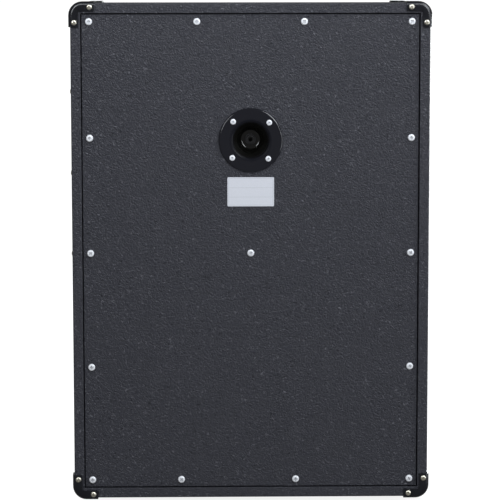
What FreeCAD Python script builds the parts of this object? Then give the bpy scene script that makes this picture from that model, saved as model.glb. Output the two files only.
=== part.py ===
import FreeCAD
import Part
import math
import os

# Closed-back guitar speaker cabinet with two round drivers behind a cloth grille.
# Lengths are in millimetres. X points right as seen from the front, Y runs from the grille to the
# rear panel and Z points up. The origin is on the floor under the middle of the cabinet.

# Cabinet, over its covering. Its height follows from the two drivers stacked inside it.
cabinet_width = 502.0
cabinet_depth = 300.0
edge_radius = 17.0
rim_radius = 2.2
lip_radius = 0.8

# Plywood and its vinyl covering
covering = 0.7
wall = 12.7
finger_count = 9
baffle_thickness = 18.0
baffle_clearance = 0.4
baffle_screw_rows = 6
baffle_screw_inset = 40.0
batten_width = 20.0
batten_depth = 20.0

# Rear panel, set into the rear opening
rear_recess = 3.0
rear_gap = 1.2
rear_panel_thickness = 12.0
rear_panel_edge = 1.0
rear_screw_inset = 10.4
rear_screw_rows = 5
top_screw_offset = 75.0
bottom_screw_offsets = (99.0, -63.5)

# Grille frame, its cloth and the hook-and-loop pads that hold it
grille_recess = 8.0
grille_gap = 1.5
grille_bar_width = 28.0
grille_bar_depth = 12.0
cloth = 0.8
pad_side = 25.0
pad_thickness = 2.5
pad_rise = 230.0

# Brace between the drivers, from the baffle to the rear panel
brace_width = 44.0
brace_height = 22.0
brace_clearance = 2.5

# Screws: (head radius, head height, shank radius, length under the head)
panel_screw = (5.0, 2.8, 2.0, 28.0)
corner_screw = (4.0, 2.2, 1.6, 16.0)
handle_screw = (4.0, 2.4, 1.75, 16.0)
dish_screw = (4.1, 2.2, 1.6, 13.0)
foot_screw = (4.5, 2.4, 2.0, 17.0)
baffle_screw = (4.0, 2.2, 1.75, 34.0)
speaker_bolt = (4.5, 3.2, 2.4, 22.0)
screw_clearance = 0.05

# Plastic corner protectors
protector_thickness = 2.5
protector_edge_radius = 6.0
protector_arm = 33.3
protector_leg = 11.0
protector_end_radius = 3.0
protector_notch_radius = 1.2
protector_flap_radius = 16.0
protector_screw_along = 27.0
protector_screw_inset = 5.6

# Recessed side handles
handle_opening_height = 208.0
handle_opening_width = 96.0
handle_opening_radius = 16.0
handle_flange_radius = 15.0
handle_floor_radius = 7.0
handle_mouth_radius = 2.5
handle_cup_wall = 3.0
handle_cup_depth = 46.0
handle_taper = 8.0
handle_flange = 20.0
handle_flange_thickness = 4.0
handle_flange_edge = 1.6
handle_rise = 107.0
handle_fit = 1.0
handle_bar_radius = 9.0
handle_bar_end_radius = 6.5
handle_bar_depth = 14.0
handle_bar_socket = 2.0
handle_bar_shoulder = 6.0
handle_bar_clearance = 0.1

# Rubber feet
foot_radius = 19.0
foot_tip_radius = 16.5
foot_height = 11.0
foot_edge = 2.0
foot_bore_radius = 8.5
foot_bore_depth = 6.0
foot_inset_x = 66.0
foot_inset_y = 80.0
foot_washer_radius = 7.5
foot_washer_thickness = 1.2

# Round jack dish in the rear panel
dish_rise = 159.0
dish_radius = 45.0
dish_flange_thickness = 3.0
dish_flange_edge = 2.6
dish_mouth_radius = 24.0
dish_floor_radius = 14.0
dish_floor_fillet = 5.0
dish_depth = 24.0
dish_wall = 2.5
dish_lip = 5.0
dish_clearance = 1.5
dish_screw_turn = 1.5
dish_screw_count = 4

# Quarter-inch jack socket in the floor of the dish
jack_bore_radius = 3.25
jack_bore_length = 27.0
jack_bushing_radius = 4.7
jack_bushing_clearance = 0.1
jack_bushing_proud = 1.0
jack_washer_radius = 7.8
jack_washer_thickness = 0.8
jack_nut_radius = 7.0
jack_nut_thickness = 3.0
jack_nut_edge = 0.6
jack_body_side = 22.0
jack_body_length = 23.0
jack_lug_width = 4.0
jack_lug_thickness = 1.2
jack_lug_length = 10.0
jack_lug_offset = 5.0

# Plain label under the dish
label_width = 65.5
label_height = 41.0
label_thickness = 0.3
label_corner = 1.5
label_rise = 86.5

# Drivers: sizes around the axis, and along it from the back of the baffle
driver_rim_radius = 154.5
driver_rim_width = 13.0
driver_wall_margin = 14.1
rim_bolt_edge = 6.5
rim_bolt_count = 8
bolt_clearance = 0.1
t_nut_radius = 6.0
t_nut_thickness = 1.2
t_nut_barrel_radius = 3.6
t_nut_barrel = 9.0
gasket_thickness = 3.0
sheet_steel = 2.0
basket_inset = 1.5
shelf_radius = 66.0
neck_radius = 54.0
shelf_depth = 60.0
seat_depth = 74.0
seat_bore_radius = 30.0
window_count = 6
window_share = 0.7
soft_thickness = 1.0
roll_radius = 2.75
roll_count = 2
travel_gap = 0.3
surround_land = 1.5
cone_depth = 47.0
cone_bow = 5.0
cap_radius = 36.0
cap_height = 14.0
coil_radius = 22.3
coil_former = 0.4
winding_thickness = 0.7
winding_length = 14.0
pole_gap = 0.8
spider_roll_radius = 3.0
spider_roll_count = 5
spider_land = 6.0
plate_radius = 60.0
plate_thickness = 8.0
magnet_radius = 78.0
magnet_bore_radius = 31.0
magnet_thickness = 30.0
back_plate_radius = 70.0
vent_radius = 6.0
terminal_width = 30.0
terminal_length = 11.0
terminal_depth = 8.0
tab_length = 8.0
tab_width = 5.0
tab_thickness = 1.2
tab_spacing = 14.0

# Internal leads, routed by hand: X, Y behind the drivers' back plates, Z from the middle of the cabinet
lead_diameter = 5.0
lead_bend_share = 0.45
upper_lead_points = ((48, 22, 162), (92, 2, 166), (106, -37, 168))
lower_lead_points = ((-16, 29, 118), (-33, 32, 62), (-44, 34, 0), (-62, 31, -58), (-86, 23, -108),
                     (-105, -1, -146), (-106, -35, -166))

# Places worked out from the sizes above
Vector = FreeCAD.Vector
RIGHT = Vector(1, 0, 0)
REAR = Vector(0, 1, 0)
UP = Vector(0, 0, 1)
tiny = 1e-6

driver_spacing = 2 * driver_rim_radius + brace_height + 2 * brace_clearance
inner_x = cabinet_width / 2 - covering - wall
inner_z = driver_spacing / 2 + driver_rim_radius + driver_wall_margin
half_width = cabinet_width / 2
half_height = inner_z + wall + covering
half_depth = cabinet_depth / 2
middle = foot_height + half_height
mouth_x = inner_x - covering
mouth_z = inner_z - covering

cloth_front = grille_recess - half_depth
grille_front = cloth_front + cloth
grille_back = grille_front + grille_bar_depth
baffle_front = grille_back + pad_thickness
baffle_back = baffle_front + baffle_thickness
grille_x = mouth_x - grille_gap - cloth
grille_z = mouth_z - grille_gap - cloth

panel_face = half_depth - rear_recess
panel_outer = panel_face - covering
panel_inner = panel_outer - rear_panel_thickness
panel_x = mouth_x - rear_gap
panel_z = mouth_z - rear_gap

driver_heights = {"upper": middle + driver_spacing / 2, "lower": middle - driver_spacing / 2}
cutout_radius = driver_rim_radius - driver_rim_width
bolt_circle = driver_rim_radius - rim_bolt_edge
driver_back = baffle_back + seat_depth + sheet_steel + 2 * plate_thickness + magnet_thickness

dish_height = middle + dish_rise
dish_screw_circle = (dish_radius + dish_mouth_radius + dish_wall) / 2
dish_floor = panel_face - dish_depth
jack_tip = dish_floor + jack_washer_thickness + jack_nut_thickness + jack_bushing_proud
jack_body_front = dish_floor - dish_wall
jack_body_back = jack_body_front - jack_body_length
jack_lug_end = jack_body_back - jack_lug_length

handle_height = middle + handle_rise
handle_face = half_width + handle_flange_thickness


def box(x_range, y_range, z_range):
    """Block between the lower and upper value of each range."""
    low = Vector(x_range[0], y_range[0], z_range[0])
    return Part.makeBox(x_range[1] - x_range[0], y_range[1] - y_range[0], z_range[1] - z_range[0], low)


def about(centre, half):
    """Range of the given half length on both sides of a centre."""
    return (centre - half, centre + half)


def outline(start, *moves):
    """Closed face in the plane of radius and axis. A move is an end point, or (via, end) for an arc."""
    edges = []
    here = Vector(start[0], 0, start[1])
    for move in moves + (start,):
        if isinstance(move[0], tuple):
            via = Vector(move[0][0], 0, move[0][1])
            end = Vector(move[1][0], 0, move[1][1])
            edges.append(Part.Arc(here, via, end).toShape())
        else:
            end = Vector(move[0], 0, move[1])
            if end.distanceToPoint(here) < tiny:
                continue
            edges.append(Part.LineSegment(here, end).toShape())
        here = end
    return Part.Face(Part.Wire(edges))


def turned(start, *moves):
    """Solid of revolution about the Z axis from an outline."""
    return outline(start, *moves).revolve(Vector(0, 0, 0), UP, 360)


def ring(inner_radius, outer_radius, low, high):
    """Plain ring or, with no inner radius, a disc."""
    return turned((inner_radius, low), (outer_radius, low), (outer_radius, high), (inner_radius, high))


def round_corner(centre, radius, degrees):
    """Point on a circle, for the middle or the end of an arc."""
    turn = math.radians(degrees)
    return (centre[0] + radius * math.cos(turn), centre[1] + radius * math.sin(turn))


def corner_arc(before, corner, after, radius):
    """Start, middle and end of an arc that rounds a corner of an outline."""
    def unit(start, end):
        length = math.dist(start, end)
        return ((end[0] - start[0]) / length, (end[1] - start[1]) / length)

    def along(start, direction, distance):
        return (start[0] + direction[0] * distance, start[1] + direction[1] * distance)

    back = unit(corner, before)
    onward = unit(corner, after)
    half = math.acos(back[0] * onward[0] + back[1] * onward[1]) / 2
    inward = unit((0, 0), (back[0] + onward[0], back[1] + onward[1]))
    reach = radius / math.tan(half)
    middle_reach = radius / math.sin(half) - radius
    return along(corner, back, reach), along(corner, inward, middle_reach), along(corner, onward, reach)


def placed(shape, position, direction):
    """Copy of a shape made along Z, put at a position and turned to a direction."""
    copy = shape.copy()
    move = FreeCAD.Placement(position, FreeCAD.Rotation(UP, direction))
    copy.Placement = move.multiply(copy.Placement)
    return copy


def group(shapes):
    """One node of separate solids."""
    return Part.makeCompound(shapes)


def screw(size):
    """Domed screw with its head above the origin and its pointed shank below."""
    head_radius, head_height, shank_radius, length = size
    dome_radius = (head_radius ** 2 + head_height ** 2) / (2 * head_height)
    half_turn = math.asin(head_radius / dome_radius) / 2
    crown = (dome_radius * math.sin(half_turn), head_height - dome_radius * (1 - math.cos(half_turn)))
    shoulder = 2 * shank_radius - length
    return turned((0, -length), (shank_radius, shoulder), (shank_radius, 0), (head_radius, 0),
                  (crown, (0, head_height)))


def screw_hole(size):
    """Hole for a screw's shank, open at the head."""
    return Part.makeCylinder(size[2] + screw_clearance, size[3] + 1, Vector(0, 0, -size[3]))


def screws_and_holes(size, seats):
    """Screws, and the holes for them, at seats given as (position, direction the head faces)."""
    screws = [placed(screw(size), position, direction) for position, direction in seats]
    holes = [placed(screw_hole(size), position, direction) for position, direction in seats]
    return screws, holes


def rounded_rectangle(half_u, half_v, radius, x):
    """Closed wire at a given X, with half sizes along Y and Z."""
    edges = []
    for corner, (sign_u, sign_v) in enumerate(((1, 1), (-1, 1), (-1, -1), (1, -1))):
        centre = Vector(x, sign_u * (half_u - radius), sign_v * (half_v - radius))
        start = math.radians(90 * corner)
        points = []
        for turn in (start, start + math.pi / 4, start + math.pi / 2):
            points.append(centre + Vector(0, radius * math.cos(turn), radius * math.sin(turn)))
        if edges:
            edges.append(Part.LineSegment(last, points[0]).toShape())
        else:
            first = points[0]
        edges.append(Part.Arc(*points).toShape())
        last = points[2]
    edges.append(Part.LineSegment(last, first).toShape())
    return Part.Wire(edges)


def envelope(growth, rounding):
    """Cabinet's outside, grown from the face of its covering, with its rims rounded."""
    half_x = half_width + growth
    half_z = half_height + growth
    half_y = half_depth + growth
    wire = rounded_rectangle(half_x, half_z, edge_radius + growth, 0)
    wire.rotate(Vector(0, 0, 0), UP, -90)
    wire.translate(Vector(0, -half_y, middle))
    block = Part.Face(wire).extrude(REAR * (2 * half_y))
    rim = [edge for edge in block.Edges if edge.BoundBox.YLength < tiny]
    return block.makeFillet(rounding, rim)


def finger_region(along_x):
    """Room taken by the side panels, or by the top and bottom panels, in the finger-jointed shell."""
    reach = wall + covering
    step = 2 * half_depth / finger_count
    boxes = []
    for sign in (-1, 1):
        if along_x:
            z_range = sorted((middle + sign * inner_z, middle + sign * (inner_z + reach)))
            boxes.append(box((-inner_x, inner_x), (-half_depth, half_depth), z_range))
        else:
            x_range = sorted((sign * inner_x, sign * (inner_x + reach)))
            boxes.append(box(x_range, (-half_depth, half_depth), about(middle, inner_z)))
        for index in range(0 if along_x else 1, finger_count, 2):
            y_range = (-half_depth + index * step, -half_depth + (index + 1) * step)
            for other in (-1, 1):
                x_range = sorted((other * inner_x, other * (inner_x + reach)))
                z_range = sorted((middle + sign * inner_z, middle + sign * (inner_z + reach)))
                boxes.append(box(x_range, y_range, z_range))
    return boxes


def shell_panels():
    """Four plywood panels with interlocking fingers along their edges."""
    bore = box((-inner_x, inner_x), (-half_depth, half_depth), about(middle, inner_z))
    hoop = envelope(-covering, rim_radius - covering).cut(bore)
    flat = finger_region(True)
    upright = finger_region(False)
    halves = {
        "top_panel": [piece for piece in flat if piece.CenterOfMass.z > middle],
        "bottom_panel": [piece for piece in flat if piece.CenterOfMass.z < middle],
        "left_panel": [piece for piece in upright if piece.CenterOfMass.x < 0],
        "right_panel": [piece for piece in upright if piece.CenterOfMass.x > 0],
    }
    panels = {}
    for name, boxes in halves.items():
        panels[name] = hoop.common(boxes[0].multiFuse(boxes[1:])).removeSplitter()
    return panels


def shell_covering():
    """Vinyl skin over the shell, turned in over both rims to the grille and the rear panel's battens."""
    skin = envelope(0, rim_radius).cut(envelope(-covering, rim_radius - covering))
    skin = skin.cut(box((-mouth_x, mouth_x), (-half_depth, half_depth), about(middle, mouth_z)))
    lips = []
    for y_range in ((covering - half_depth, baffle_front), (panel_inner, half_depth - covering)):
        outside = box((-inner_x, inner_x), y_range, about(middle, inner_z))
        lips.append(outside.cut(box((-mouth_x, mouth_x), y_range, about(middle, mouth_z))))
    skin = skin.multiFuse(lips).removeSplitter()
    edges = []
    for edge in skin.Edges:
        at = edge.BoundBox.Center
        on_rim = edge.BoundBox.YLength < tiny and abs(at.y) > half_depth - tiny
        on_mouth = abs(abs(at.x) - mouth_x) < tiny or abs(abs(at.z - middle) - mouth_z) < tiny
        if on_rim and on_mouth:
            edges.append(edge)
    return skin.makeFillet(lip_radius, edges)


def rear_panel_seats():
    """Rear panel screws: five rows at the edges, two more at the top and bottom and one in the brace."""
    column = panel_x - rear_screw_inset
    row = panel_z - rear_screw_inset
    places = [(0.0, 0.0)]
    places += [(side * top_screw_offset, row) for side in (-1, 1)]
    places += [(offset, -row) for offset in bottom_screw_offsets]
    for index in range(rear_screw_rows):
        rise = row - 2 * row * index / (rear_screw_rows - 1)
        places += [(side * column, rise) for side in (-1, 1)]
    return [(Vector(x, panel_face, middle + rise), REAR) for x, rise in places]


def rear_panel_pieces():
    """Panel board and the vinyl over its face and edges."""
    inside = (covering - panel_x, panel_x - covering)
    board = box(inside, (panel_inner, panel_outer), about(middle, panel_z - covering))
    outside = box((-panel_x, panel_x), (panel_inner, panel_face), about(middle, panel_z))
    rim = [edge for edge in outside.Edges if edge.BoundBox.YMin > panel_face - tiny]
    return board, outside.makeFillet(rear_panel_edge, rim).cut(board)


def batten_bars():
    """Sticks glued inside the shell: a full ring behind the rear panel, two uprights behind the baffle."""
    rear_y = (panel_inner - batten_depth, panel_inner)
    front_y = (baffle_back, baffle_back + batten_depth)
    rear_bars = []
    front_bars = []
    for side in (-1, 1):
        x_range = sorted((side * inner_x, side * (inner_x - batten_width)))
        z_range = sorted((middle + side * inner_z, middle + side * (inner_z - batten_width)))
        rear_bars.append(box(x_range, rear_y, about(middle, inner_z - batten_width)))
        rear_bars.append(box((-inner_x, inner_x), rear_y, z_range))
        front_bars.append(box(x_range, front_y, about(middle, inner_z)))
    return rear_bars, front_bars


def baffle_seats():
    """Baffle screws into the uprights, and one into the brace."""
    column = inner_x - batten_width / 2
    span = inner_z - baffle_screw_inset
    seats = [(Vector(0, baffle_front, middle), -REAR)]
    for side in (-1, 1):
        for index in range(baffle_screw_rows):
            rise = span - 2 * span * index / (baffle_screw_rows - 1)
            seats.append((Vector(side * column, baffle_front, middle + rise), -REAR))
    return seats


def rim_bolt_places():
    """Bolt axes around both drivers, as points on the back of the baffle."""
    places = []
    for height in driver_heights.values():
        for index in range(rim_bolt_count):
            x, z = round_corner((0, height), bolt_circle, 360 * (index + 0.5) / rim_bolt_count)
            places.append(Vector(x, baffle_back, z))
    return places


def baffle_board():
    """Board with a round cut-out and T-nut holes for each driver."""
    half_x = inner_x - baffle_clearance
    half_z = inner_z - baffle_clearance
    board = box((-half_x, half_x), (baffle_front, baffle_back), about(middle, half_z))
    cuts = []
    for height in driver_heights.values():
        cuts.append(Part.makeCylinder(cutout_radius, baffle_thickness, Vector(0, baffle_front, height), REAR))
    for place in rim_bolt_places():
        start = place - REAR * baffle_thickness
        cuts.append(Part.makeCylinder(t_nut_barrel_radius + bolt_clearance, baffle_thickness, start, REAR))
    return board.cut(cuts)


def t_nut():
    """Flanged nut pressed into the front of the baffle, made with its flange above the origin."""
    bore = speaker_bolt[2] + bolt_clearance
    return turned((bore, t_nut_thickness), (bore, -t_nut_barrel), (t_nut_barrel_radius, -t_nut_barrel),
                  (t_nut_barrel_radius, 0), (t_nut_radius, 0), (t_nut_radius, t_nut_thickness))


def rim_bolt():
    """Driver bolt with its head above the origin."""
    head_radius, head_height, shank_radius, length = speaker_bolt
    return turned((0, -length), (shank_radius, -length), (shank_radius, 0), (head_radius, 0),
                  (head_radius, head_height), (0, head_height))


def grille_pieces():
    """Frame bars, the cloth stretched over their front and edges, and the pads behind them."""
    y_range = (grille_front, grille_back)
    stile_inside = grille_x - grille_bar_width
    bars = []
    pads = []
    for side in (-1, 1):
        x_range = sorted((side * grille_x, side * stile_inside))
        z_range = sorted((middle + side * grille_z, middle + side * (grille_z - grille_bar_width)))
        bars.append(box(x_range, y_range, about(middle, grille_z)))
        bars.append(box((-stile_inside, stile_inside), y_range, z_range))
        for level in (-1, 0, 1):
            x_pad = about(side * (grille_x - grille_bar_width / 2), pad_side / 2)
            z_pad = about(middle + level * pad_rise, pad_side / 2)
            pads.append(box(x_pad, (grille_back, baffle_front), z_pad))
    bars.append(box((-stile_inside, stile_inside), y_range, about(middle, grille_bar_width / 2)))
    outside = box((-grille_x - cloth, grille_x + cloth), (cloth_front, grille_back),
                  about(middle, grille_z + cloth))
    inside = box((-grille_x, grille_x), y_range, about(middle, grille_z))
    return bars, outside.cut(inside), pads


def arc_wire(*moves):
    """Closed wire from (start, end) lines and (start, via, end) arcs."""
    edges = []
    for points in moves:
        if len(points) == 2:
            edges.append(Part.LineSegment(*points).toShape())
        else:
            edges.append(Part.Arc(*points).toShape())
    return Part.Wire(edges)


def corner_leg():
    """L-shaped part of a protector on the rim: both arms, rounded where they end and where they meet."""
    out = -protector_thickness
    arm = protector_arm
    leg = protector_leg
    end = protector_end_radius
    notch = protector_notch_radius

    def at(a, b):
        return Vector(half_width - a, half_depth, middle + half_height - b)

    def bend(centre, radius, degrees):
        return at(*round_corner(centre, radius, degrees))

    end_one = (arm - end, leg - end)
    end_two = (leg - end, arm - end)
    inner = (leg + notch, leg + notch)
    wire = arc_wire(
        (at(out, out), at(arm, out)),
        (at(arm, out), at(arm, leg - end)),
        (at(arm, leg - end), bend(end_one, end, 45), at(arm - end, leg)),
        (at(arm - end, leg), at(leg + notch, leg)),
        (at(leg + notch, leg), bend(inner, notch, 225), at(leg, leg + notch)),
        (at(leg, leg + notch), at(leg, arm - end)),
        (at(leg, arm - end), bend(end_two, end, 45), at(leg - end, arm)),
        (at(leg - end, arm), at(out, arm)),
        (at(out, arm), at(out, out)))
    face = Part.Face(wire)
    face.translate(-REAR * edge_radius / 2)
    return face.extrude(REAR * (edge_radius / 2 + protector_thickness))


def corner_flap(upright):
    """Rounded part of a protector on the top of the cabinet or, upright, on its side."""
    out = -protector_thickness
    arm = protector_arm
    turn = protector_flap_radius
    deep = edge_radius + protector_thickness

    def at(a, c):
        if upright:
            return Vector(half_width - deep, half_depth - c, middle + half_height - a)
        return Vector(half_width - a, half_depth - c, middle + half_height - deep)

    centre = (arm - turn, arm - turn)
    wire = arc_wire(
        (at(out, out), at(arm, out)),
        (at(arm, out), at(arm, arm - turn)),
        (at(arm, arm - turn), at(*round_corner(centre, turn, 45)), at(arm - turn, arm)),
        (at(arm - turn, arm), at(out, arm)),
        (at(out, arm), at(out, out)))
    direction = RIGHT if upright else UP
    return Part.Face(wire).extrude(direction * (deep + protector_thickness))


def corner_seats():
    """Two screws in each protector, one in each arm, as ((x, z) from the cabinet's middle)."""
    along = protector_screw_along
    inset = protector_screw_inset
    places = []
    for side in (-1, 1):
        for level in (-1, 1):
            places.append((side * (half_width - along), middle + level * (half_height - inset)))
            places.append((side * (half_width - inset), middle + level * (half_height - along)))
    seat = half_depth + protector_thickness
    return [(Vector(x, sign * seat, z), REAR * sign) for sign in (-1, 1) for x, z in places]


def corner_protectors(holes):
    """Protectors for the four rear and the four front corners."""
    skin = envelope(protector_thickness, protector_edge_radius).cut(envelope(0, rim_radius))
    trim = corner_leg().multiFuse([corner_flap(False), corner_flap(True)])
    trim = trim.cut(box((-mouth_x, half_width - protector_leg), (-half_depth, half_depth + rear_recess),
                        (foot_height, middle + half_height - protector_leg)))
    first = skin.common(trim).cut(holes)
    middle_point = Vector(0, 0, middle)
    pair = [first, first.mirror(middle_point, RIGHT)]
    rear = pair + [piece.mirror(middle_point, UP) for piece in pair]
    front = [piece.mirror(middle_point, REAR) for piece in rear]
    return rear, front


def edges_at(shape, x):
    """Edges of a shape that lie at a given X."""
    flat = [edge for edge in shape.Edges if edge.BoundBox.XLength < tiny]
    return [edge for edge in flat if abs(edge.BoundBox.XMin - x) < tiny]


def handle_width_at(depth):
    """Half width of the handle opening at a depth below the flange's face."""
    return handle_opening_width / 2 - handle_taper * depth / (handle_cup_depth + handle_flange_thickness)


def handle_cup():
    """Moulded cup for the right-hand side: flange, tapered pocket and sockets for the bar."""
    half_y = handle_opening_width / 2
    half_z = handle_opening_height / 2
    thick = handle_cup_wall
    floor = half_width - handle_cup_depth

    def section(extra, taper, x):
        corner = handle_opening_radius + extra - taper / 2
        return rounded_rectangle(half_y + extra - taper, half_z + extra - taper, corner, x)

    reach = thick + handle_flange
    sheet = Part.Face(rounded_rectangle(half_y + reach, half_z + reach, handle_flange_radius, half_width))
    plate = sheet.extrude(RIGHT * handle_flange_thickness)
    plate = plate.makeFillet(handle_flange_edge, edges_at(plate, handle_face))
    back = floor - thick
    outside = Part.makeLoft([section(thick, 0, half_width), section(thick, handle_taper, back)], True)
    inside = Part.makeLoft([section(0, 0, handle_face), section(0, handle_taper, floor)], True)
    outside = outside.makeFillet(handle_floor_radius + thick, edges_at(outside, back))
    inside = inside.makeFillet(handle_floor_radius, edges_at(inside, floor))
    cup = plate.fuse(outside).cut(inside).removeSplitter()
    reach_y = half_y + tiny
    reach_z = half_z + tiny
    opening = FreeCAD.BoundBox(floor, -reach_y, -reach_z, handle_face + tiny, reach_y, reach_z)
    mouth = [edge for edge in edges_at(cup, handle_face) if opening.isInside(edge.BoundBox)]
    cup = cup.makeFillet(handle_mouth_radius, mouth)
    cup.translate(UP * handle_height)
    half_length = handle_width_at(handle_bar_depth) + handle_bar_socket
    socket_radius = handle_bar_end_radius + handle_bar_clearance
    start = Vector(handle_face - handle_bar_depth, -half_length, handle_height)
    return cup.cut(Part.makeCylinder(socket_radius, 2 * half_length, start, REAR))


def handle_bar():
    """Grip across the cup, fuller in the middle, with its ends in the cup's sockets."""
    half_length = handle_width_at(handle_bar_depth) + handle_bar_socket
    shoulder = half_length - handle_bar_shoulder
    bar = turned((0, -half_length), (handle_bar_end_radius, -half_length), (handle_bar_end_radius, -shoulder),
                 ((handle_bar_radius, 0), (handle_bar_end_radius, shoulder)),
                 (handle_bar_end_radius, half_length), (0, half_length))
    return placed(bar, Vector(handle_face - handle_bar_depth, 0, handle_height), REAR)


def handle_seats():
    """Three screws down each long side of both handle flanges."""
    column = handle_opening_width / 2 + handle_cup_wall + handle_flange / 2
    row = handle_opening_height / 2 + handle_cup_wall + handle_flange / 2
    seats = []
    for side in (-1, 1):
        for y in (-column, column):
            for rise in (-row, 0, row):
                seats.append((Vector(side * handle_face, y, handle_height + rise), RIGHT * side))
    return seats


def handle_cutout():
    """Hole in the right-hand side panel and its covering for the cup."""
    half_y = handle_opening_width / 2 + handle_cup_wall + handle_fit
    half_z = handle_opening_height / 2 + handle_cup_wall + handle_fit
    wire = rounded_rectangle(half_y, half_z, handle_opening_radius + handle_cup_wall + handle_fit, inner_x)
    hole = Part.Face(wire).extrude(RIGHT * (half_width - inner_x))
    hole.translate(UP * handle_height)
    return hole


def mirrored(shape):
    """Copy on the other side of the cabinet's middle plane."""
    return shape.mirror(Vector(0, 0, 0), RIGHT)


def foot():
    """Tapered rubber foot standing on the floor, with a bore for its screw and washer."""
    hole = foot_screw[2] + screw_clearance
    tip = (foot_tip_radius - foot_edge, foot_edge)
    return turned((foot_bore_radius, 0), (tip[0], 0),
                  (round_corner(tip, foot_edge, -45), (foot_tip_radius, foot_edge)),
                  (foot_radius, foot_height), (hole, foot_height), (hole, foot_bore_depth),
                  (foot_bore_radius, foot_bore_depth))


def foot_places():
    """Foot axes on the floor."""
    x = half_width - foot_inset_x
    y = half_depth - foot_inset_y
    return [Vector(side * x, end * y, 0) for side in (-1, 1) for end in (-1, 1)]


def jack_dish():
    """Round dish with a rolled flange and a tapered bowl, made along its axis from the panel's face."""
    edge = dish_flange_edge
    top = dish_flange_thickness
    rim = (dish_radius - edge, top - edge)
    lip = (dish_mouth_radius + dish_lip, top - dish_lip)
    hole = jack_bushing_radius + jack_bushing_clearance
    floor = -dish_depth
    mouth = (dish_mouth_radius, lip[1])
    bend = corner_arc(mouth, (dish_floor_radius, floor), (hole, floor), dish_floor_fillet)
    return turned((dish_radius, 0), (dish_radius, rim[1]), (round_corner(rim, edge, 45), (rim[0], top)),
                  (lip[0], top), (round_corner(lip, dish_lip, 135), mouth),
                  bend[0], bend[1:], (hole, floor), (hole, floor - dish_wall),
                  (dish_floor_radius + dish_wall, floor - dish_wall), (dish_mouth_radius + dish_wall, 0))


def dish_seats():
    """Screws around the dish's flange, turned a little as fitted."""
    seats = []
    for index in range(dish_screw_count):
        degrees = 360 * (index + 0.5) / dish_screw_count + dish_screw_turn
        x, z = round_corner((0, dish_height), dish_screw_circle, degrees)
        seats.append((Vector(x, panel_face + dish_flange_thickness, z), REAR))
    return seats


def jack_socket():
    """Bushing and body with the plug's bore, and two lugs moulded into the back."""
    half = jack_body_side / 2
    body = box(about(0, half), (jack_body_back, jack_body_front), about(dish_height, half))
    centre = Vector(0, jack_body_front, dish_height)
    bushing = Part.makeCylinder(jack_bushing_radius, jack_tip - jack_body_front, centre, REAR)
    bore = Part.makeCylinder(jack_bore_radius, jack_bore_length, Vector(0, jack_tip, dish_height), -REAR)
    lugs = []
    for side in (-1, 1):
        lugs.append(box(about(side * jack_lug_offset, jack_lug_thickness / 2), (jack_lug_end, jack_body_back),
                        about(dish_height, jack_lug_width / 2)))
    return body.multiFuse([bushing] + lugs).cut(bore)


def jack_rings():
    """Washer and round nut on the bushing."""
    bore = jack_bushing_radius + jack_bushing_clearance
    washer = ring(bore, jack_washer_radius, 0, jack_washer_thickness)
    top = jack_washer_thickness + jack_nut_thickness
    edge = jack_nut_edge
    nut = turned((bore, jack_washer_thickness), (jack_nut_radius, jack_washer_thickness),
                 (jack_nut_radius, top - edge), (jack_nut_radius - edge, top), (bore, top))
    return washer, nut


def label():
    """Thin blank plate with rounded corners."""
    wire = rounded_rectangle(label_width / 2, label_height / 2, label_corner, 0)
    wire.rotate(Vector(0, 0, 0), UP, -90)
    wire.translate(Vector(0, panel_face, middle + label_rise))
    return Part.Face(wire).extrude(REAR * label_thickness)


def cone_line(offset):
    """Curve of the cone from its rim to its neck as (rim, bowed middle, neck), moved along the axis."""
    top = gasket_thickness + soft_thickness / 2
    rim = (driver_soft_radius() - travel_gap, top + offset)
    neck = (coil_radius, top + cone_depth + offset)
    bowed = ((rim[0] + neck[0]) / 2 - cone_bow, (rim[1] + neck[1]) / 2 - cone_bow)
    return rim, bowed, neck


def driver_soft_radius():
    """Inner radius of the surround, where the cone's edge is."""
    rolls_width = 2 * roll_radius * roll_count
    return cutout_radius - basket_inset - surround_land - rolls_width - soft_thickness / 2


def cone_depth_at(radius):
    """Distance along the axis of the cone's front at a radius."""
    curve = Part.Arc(*[Vector(r, 0, u) for r, u in cone_line(0)])
    upright = Part.LineSegment(Vector(radius, 0, -cone_depth), Vector(radius, 0, 3 * cone_depth))
    return curve.intersect(upright)[0].Z


def rolls(start, level, radius, count, thickness):
    """Two edges of a corrugated sheet as moves inwards from a start radius, then back out."""
    near = []
    far = []
    for index in range(count):
        centre = start - radius * (2 * index + 1)
        sign = -1 if index % 2 == 0 else 1
        front = radius - sign * thickness / 2
        back = radius + sign * thickness / 2
        near.append(((centre, level + sign * front), (centre - front, level)))
        far.append(((centre, level + sign * back), (centre + back, level)))
    return near, far[::-1]


def surround():
    """Corrugated paper edge: a flat land under the gasket, then rolls."""
    level = gasket_thickness + soft_thickness / 2
    half = soft_thickness / 2
    outer = driver_rim_radius - basket_inset
    start = driver_soft_radius() + half + 2 * roll_radius * roll_count
    near, far = rolls(start, level, roll_radius, roll_count, soft_thickness)
    return turned((outer, level - half), (start + half, level - half), (start + half, level), *near,
                  (driver_soft_radius() + soft_thickness, level), *far, (start - half, level + half),
                  (outer, level + half))


def spider():
    """Corrugated disc that centres the voice coil, glued to the basket's shelf."""
    half = soft_thickness / 2
    level = shelf_depth - half
    start = spider_outer() - spider_land
    near, far = rolls(start, level, spider_roll_radius, spider_roll_count, soft_thickness)
    end = start - 2 * spider_roll_radius * spider_roll_count
    inner = coil_radius + travel_gap
    return turned((spider_outer(), level - half), (start + half, level - half), (start + half, level), *near,
                  (end - half, level - half), (inner, level - half), (inner, level + half),
                  (end + half, level + half), (end + half, level), *far, (start - half, level + half),
                  (spider_outer(), level + half))


def spider_outer():
    """Radius of the spider's outer edge on the shelf."""
    return shelf_radius - sheet_steel


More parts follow.
